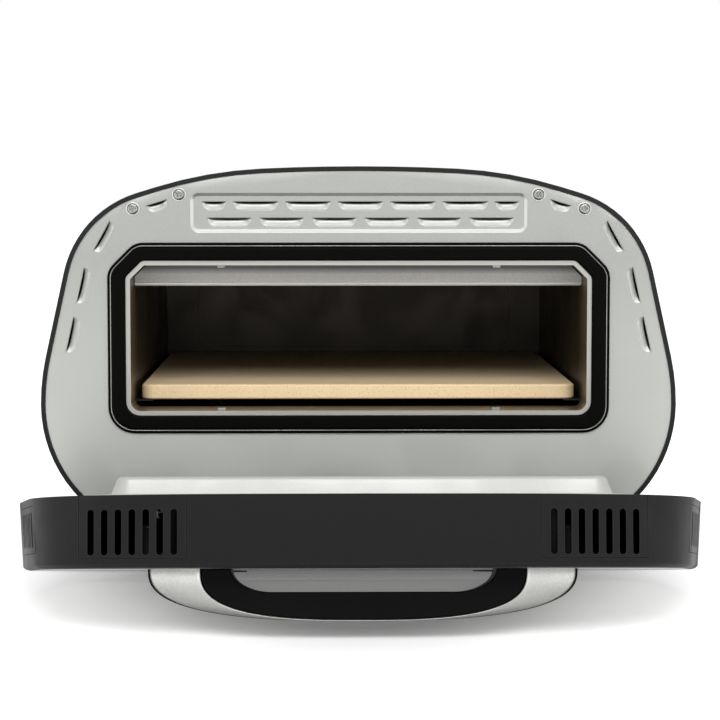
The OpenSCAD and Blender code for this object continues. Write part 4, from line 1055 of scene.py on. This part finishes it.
def louvre_mesh(length, depth, slit):
    """A louvre: its skirt in the sheet's plane and its scoop, which falls back to an open slit."""
    shape = Shape()
    shape.loft([level(louvre_rim(length, LOUVRE_SKIRT), 0), level(louvre_rim(length, 0), 0)])
    across = [math.sin(math.radians(a)) for a in range(-90, 91, 6)]
    grid = []
    for row in LOUVRE_ROWS:
        half = louvre_half_width(length, row, 0)
        rise = row / LOUVRE_H
        line = []
        for part in across:
            end = min(1.0, half * (1 - abs(part)) / LOUVRE_END)
            sunk = depth * (1 - (1 - end) ** 2) * (1 - (1 - rise) ** 1.8)
            open_slit = slit * (1 - abs(part) ** 2.5)
            line.append((half * part, sunk, row - rise * open_slit - LOUVRE_H / 2))
        grid.append(line)
    shape.loft(grid, closed=False)
    return finish_mesh(shape.to_bmesh(as_drawn), "louvre", (0, -1, 0))


def placed_loop(loop, point, turn):
    """A louvre's loop turned and moved to its place in the panel."""
    sin, cos = math.sin(turn), math.cos(turn)
    return [Vector((p.x * cos + p.y * sin, p.y * cos - p.x * sin)) + point for p in loop]


def field_loops(bend):
    """Loops and depths from the panel's face round the bend down to the vent field's floor."""
    foot = -FIELD_WALL
    profile = [(bend, 0), (0.45 * bend, 0.12 * bend), (0.1 * bend, 0.45 * bend), (foot, FIELD_D - 0.5 * bend),
               (foot - 0.4 * bend, FIELD_D - 0.12 * bend), (foot - bend, FIELD_D)]
    loops = []
    for grow, depth in profile:
        reach = FIELD_HALF_H + grow
        loop = plate_loop(FIELD_HALF_W + grow, FIELD_Z - reach, FIELD_Z + reach, FIELD_R + grow)
        loops.append((loop, depth))
    return loops


def front_panel_mesh(shapes, finish):
    """The pressed front panel, with its vent field and louvres merged into one sheet."""
    depth = shapes.louvre_depth / MM
    slit = shapes.slit_height / MM
    places = louvre_places()
    lengths = sorted({length for _, length, _, _ in places})
    kinds = [louvre_mesh(length, depth, slit) for length in lengths]
    spots = []
    holes = {0.0: [], FIELD_D: []}
    for point, length, turn, sunk in places:
        spots.append((on_body(point.x, sunk, point.y), (0, turn, 0), lengths.index(length)))
        holes[sunk].append(placed_loop(louvre_rim(length, LOUVRE_SKIRT), point, turn))
    field = field_loops(shapes.field_bend / MM)
    edge = both_halves(half_outline(HEM_W + FIT_GAP))
    sheet = Shape()
    sheet.loft([level(loop, y) for loop, y in field])
    sheet.fill(edge, [throat_loop(SHEET_T + FIT_GAP), field[0][0], *holes[0.0]], 0)
    sheet.fill(field[-1][0], holes[FIELD_D], FIELD_D)
    bm = sheet.to_bmesh(on_body)
    bm.from_mesh(copies_mesh(kinds, spots, finish))
    return finish_mesh(bm, "front_panel_sheet", (0, -1, 0))


def screw_shape(radius):
    """A pan-head screw with a thin washer and a cross recess, its seat at the origin, facing -Y."""
    wide = radius * 0.13
    arm = radius * 0.56
    crown = radius * 0.5
    floor = -0.25 * crown
    cross = [Vector((wide, arm)), Vector((wide, wide)), Vector((arm, wide))]
    for _ in range(3):
        cross += [Vector((point.y, -point.x)) for point in cross[-3:]]
    inner = [point * 0.8 for point in cross]
    rings = [(circle(radius * part, CIRCLE_STEPS), -rise * crown) for part, rise in SCREW_SECTION]
    shape = Shape()
    shape.loft([level(loop, y) for loop, y in rings])
    shape.fill(rings[-1][0], [cross], -crown)
    shape.loft([level(cross, -crown), level(inner, floor)])
    shape.fill(inner, [], floor)
    return shape


def screws_mesh(radius, places, turn_back, finish):
    """Cross-recess screws at places on one face, each turned by its own amount."""
    screw = finish_mesh(screw_shape(radius).to_bmesh(as_drawn), "screw")
    spots = []
    for number, point in enumerate(places):
        twist = (0.5 + 2.4 * number) % math.pi
        spots.append((point, (0, twist, math.pi if turn_back else 0), 0))
    mesh = copies_mesh([screw], spots, finish)
    mesh.set_sharp_from_angle(angle=math.radians(35))
    return mesh


def seats_mesh(places, finish):
    """The raised round seats that the front panel's screws stand in."""
    rings = [level(circle(radius, SEAT_STEPS), y) for radius, y in SEAT_SECTION]
    seat = lofted("screw_seat", rings, as_drawn, looped=True)
    return copies_mesh([seat], [(point, (0, 0, 0), 0) for point in places], finish)


class OVEN_OT_front_panel(bpy.types.Operator):
    """Build the pressed front panel with its vent field, louvres and screws"""

    bl_idname = "oven.front_panel"
    bl_label = "Front panel"

    def execute(self, context):
        finish = finish_of("pressed_steel")
        mesh = front_panel_mesh(context.scene.oven_shapes, finish)
        add_piece("front_sheet", mesh, "oven", "front_panel", finish, thickness=1.0)
        places = []
        for side in (-1, 1):
            for run in FRONT_SCREW_RUNS:
                point = beside(ROOF_ARC, ROOF_TURN, run, FRONT_SCREW_IN)
                places.append(on_body(side * point.x, 0, point.y))
        bright = finish_of("screw_steel")
        screws = screws_mesh(FRONT_SCREW_R, places, False, bright)
        add_piece("front_screws", screws, "oven", "front_panel_screws", bright)
        # The seats get the pale rim finish, a painted highlight.
        rim = finish_of("rim_steel")
        add_piece("screw_seats", seats_mesh(places, rim), "oven", None, rim)
        return {"FINISHED"}


# ---------------------------------------------------------------- mouth and cavity


def seal_mesh():
    """The seal: a thin foot outside, a soft bead that steps up inside it."""
    outside = [(0, 0), (0, -1.5), (0.2, -1.85), (0.6, -2.0), (1.7, -2.0), (2.9, -2.0), (3.05, -2.5),
               (3.4, -3.1), (4.1, -3.5), (5.2, -3.65)]
    inside = [(2.2, -3.65), (1.0, -3.45), (0.4, -2.9), (0.15, -2.0), (0.15, 0)]
    rings = [level(seal_loop(inset), y) for inset, y in outside]
    rings += [level(throat_loop(FLANGE_W + grow), y) for grow, y in inside]
    return lofted("mouth_seal", rings, on_body, looped=True)


def wire_mesh():
    """The thin wire that lies in the seal's step."""
    rings = [level(seal_loop(WIRE_IN + point.x), WIRE_Y + point.y) for point in circle(WIRE_R, 8)]
    return lofted("seal_wire_ring", rings, on_body, looped=True)


def tabs_mesh(finish):
    """The small tabs that hold the liner, at the mouth's upper and lower edges."""
    rings = []
    for inset, y in ((0.3, -0.6), (0.0, -0.3), (0.0, 0.6)):
        reach = TAB_HALF_H - inset
        rings.append(level(plate_loop(TAB_HALF_W - inset, -reach, reach, TAB_R), y))
    tab = lofted("liner_tab", rings, as_drawn, crease=50, caps=True)
    places = []
    for x in (-TAB_X, TAB_X):
        for z in (MOUTH_LOW + TAB_IN, MOUTH_HIGH - TAB_IN):
            places.append((on_body(x, TAB_Y, z), (0, 0, 0), 0))
    return copies_mesh([tab], places, finish)


class OVEN_OT_mouth(bpy.types.Operator):
    """Build the seal, its wire and the liner's tabs, and dress the liner, the deflector and the rails"""

    bl_idname = "oven.mouth"
    bl_label = "Mouth and cavity"

    def execute(self, context):
        steel = finish_of("screw_steel")
        add_piece("mouth_seal", seal_mesh(), "oven", "door_seal", finish_of("seal_rubber"))
        add_piece("seal_wire_ring", wire_mesh(), "oven", "seal_wire", steel)
        add_piece("liner_tabs", tabs_mesh(steel), "oven", None, steel)
        dress_softened({"cavity_liner": 0.3, "heat_deflector": 0.25})
        dress_softened({"stone_rail_left": 0.2, "stone_rail_right": 0.2}, finish_of("blackened"))
        return {"FINISHED"}


class OVEN_OT_baking_stone(bpy.types.Operator):
    """Build the baking stone with its rounded edges"""

    bl_idname = "oven.baking_stone"
    bl_label = "Baking stone"

    def execute(self, context):
        edge = context.scene.oven_shapes.stone_edge / MM
        half = (STONE_HIGH.x - STONE_LOW.x) / 2
        middle = (STONE_HIGH.y + STONE_LOW.y) / 2
        turns = [math.radians(angle) for angle in (90, 70, 50, 30, 10)]
        profile = [(edge * (1 - math.cos(turn)), edge * (1 - math.sin(turn))) for turn in turns]
        heights = [(inset, STONE_LOW.z + rise) for inset, rise in profile]
        heights += [(inset, STONE_HIGH.z - rise) for inset, rise in reversed(profile)]
        rings = []
        for inset, z in heights:
            reach = half - inset
            loop = plate_loop(reach, middle - reach, middle + reach, STONE_CORNER - inset)
            rings.append([(point.x, point.y, z) for point in loop])
        mesh = lofted("fired_stone", rings, as_drawn, caps=True)
        add_piece("fired_stone", mesh, "oven", "baking_stone", finish_of("stone"))
        return {"FINISHED"}


class OVEN_OT_heating(bpy.types.Operator):
    """Dress the heating elements with their clips, bushings, probe and cut-out"""

    bl_idname = "oven.heating"
    bl_label = "Heating"

    def execute(self, context):
        dress_softened({
            "upper_element": 0.0, "lower_element": 0.0, "element_bushings": 0.3, "temperature_probe": 0.3,
            "thermal_cutout": 0.3, "insulation_blanket": 2.0, "liner_cradles": 0.3, "terminal_block": 0.5})
        dress_softened({"upper_element_clips": 0.2, "lower_element_clips": 0.2}, finish_of("blackened"))
        return {"FINISHED"}


class OVEN_OT_body(bpy.types.Operator):
    """Dress the outer shell, the base, the rear cover with its screws, the feet and the gland"""

    bl_idname = "oven.body"
    bl_label = "Body"

    def execute(self, context):
        dress_softened({
            "outer_shell": 0.55, "base_pan": 0.3, "rear_cover": 0.3, "rear_spacers": 0.6, "cord_gland": 0.5,
            "foot_front_left": 0.8, "foot_front_right": 0.8, "foot_rear_left": 0.8, "foot_rear_right": 0.8,
            "foot_pads": 0.6})
        rear_y = node_box("rear_cover")[1].y
        places = []
        for arc, turn in REAR_SCREWS:
            point = beside(arc, turn, 0, REAR_SCREW_IN)
            for side in (-1, 1):
                places.append(as_drawn(side * point.x, rear_y, point.y))
        bright = finish_of("screw_steel")
        screws = screws_mesh(REAR_SCREW_R, places, True, bright)
        add_piece("rear_screws", screws, "oven", "rear_cover_screws", bright)
        return {"FINISHED"}


# ---------------------------------------------------------------- door


def tray_mesh(bend):
    """The door's inner panel: a flange inside the back frame, a soft raised middle and a window."""
    def raised(grow):
        return plate_loop(TRAY_HALF + grow, TRAY_LOW - grow, TRAY_HIGH + grow, max(4.0, TRAY_R + grow))

    def window(grow):
        reach = WINDOW_HALF_H + grow
        return plate_loop(WINDOW_HALF_W + grow, WINDOW_Z - reach, WINDOW_Z + reach, WINDOW_R + grow)

    def flange(inset):
        return [point - Vector((0, HINGE_Z)) for point in seal_loop(inset)]

    base = RIM_Y + TRAY_STEP
    top = RIM_Y + TRAY_H
    climb = TRAY_H - TRAY_STEP
    lean = TRAY_DRAFT * (climb - bend) / climb
    lip = [(3.35, RIM_Y - SHEET_T), (3.35, base - 0.8), (3.6, base - 0.25), (4.2, base)]
    walls = [(1.8, base), (0.6, base + 0.25), (0.0, base + 0.9), (-lean, top - bend)]
    for angle in (20, 40, 60, 80, 90):
        turn = math.radians(angle)
        walls.append((-lean - bend * (1 - math.cos(turn)), top - bend + bend * math.sin(turn)))
    sill = [(1.4, top), (0.4, top - 0.25), (0, top - 0.9), (0, top - 1.4)]
    shape = Shape()
    for loop_of, steps in ((flange, lip), (raised, walls), (window, sill)):
        shape.loft([level(loop_of(size), y) for size, y in steps])
    shape.fill(flange(lip[-1][0]), [raised(walls[0][0])], base)
    shape.fill(raised(walls[-1][0]), [window(sill[0][0])], top)
    inward = on_door(0, 1, 0) - on_door(0, 0, 0)
    return finish_mesh(shape.to_bmesh(on_door), "inner_tray", toward=inward, crease=50)


class OVEN_OT_door(bpy.types.Operator):
    """Build the door's inner tray and dress its frame, grilles, panes and outer face"""

    bl_idname = "oven.door"
    bl_label = "Door"

    def execute(self, context):
        mesh = tray_mesh(context.scene.oven_shapes.tray_bend / MM)
        add_piece("inner_tray", mesh, "door", "door_inner_panel", finish_of("tray_steel"), thickness=1.0)
        dress_softened({
            "door_frame": 0.6, "door_back_frame": 0.3, "door_outer_panel": 0.3, "vent_grille_left": 0.45,
            "vent_grille_right": 0.45, "side_grille_left": 0.45, "side_grille_right": 0.45,
            "inner_glass": 0.4, "outer_glass": 0.4})
        dress_softened({"window_shroud": 0.2}, finish_of("blackened"))
        return {"FINISHED"}


def oval_half(half, reach, power, steps=48):
    """The front half of a flattened oval, from its right end round to its left end."""
    points = []
    for i in range(steps + 1):
        angle = math.pi * i / steps
        cos = math.cos(angle)
        x = half * math.copysign(abs(cos) ** (2 / power), cos)
        points.append(Vector((x, -reach * math.sin(angle) ** (2 / power))))
    return points


def handle_section(part, inset):
    """The handle's section between its grip side (0) and its flared side (1)."""
    half = GRIP_HALF + (FLARE_HALF - GRIP_HALF) * part - inset
    return oval_half(half, HANDLE_D - SHELL_BACK - inset, 2.9 - 0.2 * part)


def finger_path():
    """The finger gap's edge, from its left end round to its right end."""
    end = []
    for i in range(15):
        angle = math.pi / 2 * i / 14
        end.append(Vector((FINGER_BEND * (1 - math.cos(angle)) - FINGER_HALF, -FINGER_D * math.sin(angle))))
    return end + [Vector((-point.x, point.y)) for point in reversed(end)]


def on_face(outline, z):
    """An outline at one height of the door's outer face."""
    return [(point.x, FACE_Y + point.y, z) for point in outline]


def gapped_solid(name, section, low, high, edge):
    """A solid between two heights of the handle, with the finger gap cut out and its edges rounded."""
    outline = section + finger_path()
    shape = Shape()
    shape.loft([on_face(outline, low), on_face(outline, high)], caps=True)
    bm = shape.to_bmesh(on_door)
    bmesh.ops.remove_doubles(bm, verts=bm.verts, dist=MERGE)
    bmesh.ops.recalc_face_normals(bm, faces=bm.faces)
    caps = [face for face in bm.faces if len(face.verts) > 20]
    bevel(bm, list({rim for face in caps for rim in face.edges}), edge, 3)
    return finish_mesh(bm, name, crease=40)


def handle_shell_mesh():
    """The handle's steel shell, which flares out from the grip to the bezel."""
    low = HANDLE_Z + BEZEL_T
    high = HANDLE_Z + HANDLE_H - 0.5
    parts = [i / 14 for i in range(15)]
    rows = [on_face(handle_section(part, 0), high + (low - high) * part) for part in parts]
    outward = on_door(0, -1, 0) - on_door(0, 0, 0)
    return lofted("handle_sheet", rows, on_door, toward=outward, closed=False)


class OVEN_OT_handle(bpy.types.Operator):
    """Build the handle: its grip, flared shell, bezel, posts and screws"""

    bl_idname = "oven.handle"
    bl_label = "Handle"

    def execute(self, context):
        edge = context.scene.oven_shapes.grip_edge / MM
        black = finish_of("handle_black")
        foot = HANDLE_Z + BEZEL_T
        grip = gapped_solid("grip", handle_section(0, GRIP_IN), foot, HANDLE_Z + HANDLE_H, edge)
        add_piece("grip", grip, "door", "handle_grip", black)
        rim = oval_half(FLARE_HALF + 1.2, HANDLE_D - BEZEL_BACK, 2.7)
        bezel = gapped_solid("bezel", rim, HANDLE_Z, foot, edge / 2)
        add_piece("bezel", bezel, "door", "handle_bezel", black)
        add_piece("handle_sheet", handle_shell_mesh(), "door", "handle_shell", finish_of("flare_steel"),
                  thickness=SHEET_T)
        dress_softened({"handle_brackets": 0.3, "handle_screws": 0.15})
        return {"FINISHED"}


def ticks_mesh(count, sweep, side):
    """A dial's ticks, laid on the flat floor of its well."""
    tree = bpy.data.node_groups.get("Dial ticks") or tick_tree()
    mesh = grown_mesh(tree, {
        "Count": count, "Radius": (DIAL_R + TICK_GAP) * MM, "Start": -sweep / 2, "Sweep": sweep,
        "Tick": [size * MM for size in TICK_SIZE], "Finish": finish_of("tick_ink")})
    for vertex in mesh.vertices:
        spot = vertex.co / MM
        vertex.co = on_door(side * DIAL_X + spot.x, FACE_Y + WELL_D - 0.1 + spot.y, DIAL_Z + spot.z)
    return mesh


class OVEN_OT_dials(bpy.types.Operator):
    """Dress the two dials, their wells and controls, and lay their ticks"""

    bl_idname = "oven.dials"
    bl_label = "Dials"

    def execute(self, context):
        for part, edge in (("well", 0.4), ("control", 0.6), ("knob", 0.7), ("shaft", 0.2)):
            dress_softened({"temperature_" + part: edge, "timer_" + part: edge})
        count = context.scene.oven_shapes.dial_ticks
        for name, side, sweep in (("temperature_ticks", -1, 270), ("timer_ticks", 1, 300)):
            ticks = ticks_mesh(count, math.radians(sweep), side)
            add_piece(name, ticks, "door", None, finish_of("tick_ink"))
        return {"FINISHED"}


class OVEN_OT_hinges(bpy.types.Operator):
    """Dress the hinges: brackets, pins and the door's arms"""

    bl_idname = "oven.hinges"
    bl_label = "Hinges"

    def execute(self, context):
        for part in ("hinge_bracket", "hinge_pin", "hinge_arm"):
            dress_softened({part + "_left": 0.3, part + "_right": 0.3})
        return {"FINISHED"}


class OVEN_OT_finishes(bpy.types.Operator):
    """Make the oven's finishes and put them on the CAD nodes that stay"""

    bl_idname = "oven.finishes"
    bl_label = "Finishes"

    def execute(self, context):
        made = build_finishes(context.scene.oven_colours)
        for node, item in frame["nodes"].items():
            item.data.materials.clear()
            item.data.materials.append(made[slot_of(node)])
        return {"FINISHED"}


# ---------------------------------------------------------------- stage


def light_paths(tree):
    """One for rays that see the background: from the camera, mirrored or through glass."""
    paths = add_node(tree, "ShaderNodeLightPath").outputs
    first = worked_out(tree, "MAXIMUM", paths["Is Camera Ray"], paths["Is Glossy Ray"])
    return worked_out(tree, "MAXIMUM", first, paths["Is Transmission Ray"])


def build_world(ambient):
    """An even studio: plain light on the object, white where it is seen."""
    world = bpy.data.worlds.new("studio")
    world.use_nodes = True
    tree = world.node_tree
    strength = mapped(tree, light_paths(tree), 0, 1, ambient, 1.0)
    feed(tree, tree.nodes["Background"], {"Color": (1, 1, 1, 1), "Strength": strength})
    return world


def floor_finish():
    """A plain pale floor that is white where nothing shades it, keeps the object's cast shadow and has a
    painted shadow round the oven where its glow is lowered.
    """
    material, tree, shader, place = blank_material("studio_floor")
    # The glow is low on an oval under the oven, as painted shadow, and rises to its full strength round it.
    oval = add_node(tree, "ShaderNodeMapping", {"Vector": place, "Scale": (1 / 0.16, 1 / 0.36, 0)})
    reach = add_node(tree, "ShaderNodeVectorMath", {0: oval.outputs[0]}, operation="LENGTH")
    glow_beyond_painted_shadow = mapped(tree, reach.outputs["Value"], 0.8, 2.2, 0.14, 0.85)
    feed(tree, shader, {
        "Base Color": (0.9, 0.9, 0.9, 1), "Roughness": 1.0, "Specular IOR Level": 0.0,
        "Emission Color": (1, 1, 1, 1),
        "Emission Strength": worked_out(tree, "MULTIPLY", glow_beyond_painted_shadow, light_paths(tree))})
    return material


def add_lamp(name, place, size, power):
    """A soft rectangular lamp that points at the middle of the oven."""
    lamp = bpy.data.lights.new(name, "AREA")
    lamp.shape = "RECTANGLE"
    lamp.size, lamp.size_y = size
    lamp.energy = power
    item = bpy.data.objects.new(name, lamp)
    item.location = place
    item.rotation_euler = (AIM - Vector(place)).to_track_quat("-Z", "Y").to_euler()
    bpy.context.scene.collection.objects.link(item)


class OVEN_OT_stage(bpy.types.Operator):
    """Build the floor, the soft light and the camera at the photographed angle"""

    bl_idname = "oven.stage"
    bl_label = "Stage"

    def execute(self, context):
        scene = context.scene
        stage = scene.oven_stage
        scene.world = build_world(stage.ambient)
        floor_mesh = bpy.data.meshes.new("floor")
        signs = [(-1, -1), (1, -1), (1, 1), (-1, 1)]
        corners = [(x * FLOOR_HALF, y * FLOOR_HALF, 0) for x, y in signs]
        floor_mesh.from_pydata(corners, [], [(0, 1, 2, 3)])
        floor_mesh.materials.append(floor_finish())
        floor = bpy.data.objects.new("floor", floor_mesh)
        scene.collection.objects.link(floor)
        add_lamp("key", KEY_PLACE, KEY_SIZE, stage.key)
        for name, side in (("side_left", -1), ("side_right", 1)):
            add_lamp(name, (side * SIDE_REACH, -0.9, 0.4), SIDE_SIZE, stage.sides)
        lens = bpy.data.cameras.new("camera")
        lens.lens = stage.lens
        lens.sensor_width = 36
        lens.clip_start = 0.05
        lens.clip_end = 60
        camera = bpy.data.objects.new("camera", lens)
        camera.location = (stage.side, FRONT_Y * MM - stage.distance, stage.height)
        camera.rotation_euler = (math.pi / 2 - stage.tilt, 0, -stage.yaw)
        scene.collection.objects.link(camera)
        scene.camera = camera
        scene.view_settings.view_transform = "Standard"
        return {"FINISHED"}


# ---------------------------------------------------------------- add-on

STEPS = (
    OVEN_OT_stage, OVEN_OT_finishes, OVEN_OT_body, OVEN_OT_front_panel, OVEN_OT_mouth, OVEN_OT_baking_stone,
    OVEN_OT_heating, OVEN_OT_door, OVEN_OT_handle, OVEN_OT_dials, OVEN_OT_hinges,
)


class OVEN_PT_pieces(bpy.types.Panel):
    """Lists the oven's pieces and the settings behind them"""

    bl_idname = "OVEN_PT_pieces"
    bl_label = "Pizza oven"
    bl_space_type = "VIEW_3D"
    bl_region_type = "UI"
    bl_category = "Pizza Oven"

    def draw(self, context):
        layout = self.layout
        for step in STEPS:
            layout.operator(step.bl_idname)
        for settings in (context.scene.oven_shapes, context.scene.oven_colours, context.scene.oven_stage):
            box = layout.box()
            for name in settings.__annotations__:
                box.prop(settings, name)


CLASSES = (OvenShapeSettings, OvenColourSettings, OvenStageSettings, *STEPS, OVEN_PT_pieces)


def register():
    for item in CLASSES:
        bpy.utils.register_class(item)
    bpy.types.Scene.oven_shapes = PointerProperty(type=OvenShapeSettings)
    bpy.types.Scene.oven_colours = PointerProperty(type=OvenColourSettings)
    bpy.types.Scene.oven_stage = PointerProperty(type=OvenStageSettings)


def unregister():
    del bpy.types.Scene.oven_shapes
    del bpy.types.Scene.oven_colours
    del bpy.types.Scene.oven_stage
    for item in reversed(CLASSES):
        bpy.utils.unregister_class(item)


def main():
    register()
    for step in STEPS:
        group, name = step.bl_idname.split(".")
        getattr(getattr(bpy.ops, group), name)()


if __name__ == "__main__":
    main()
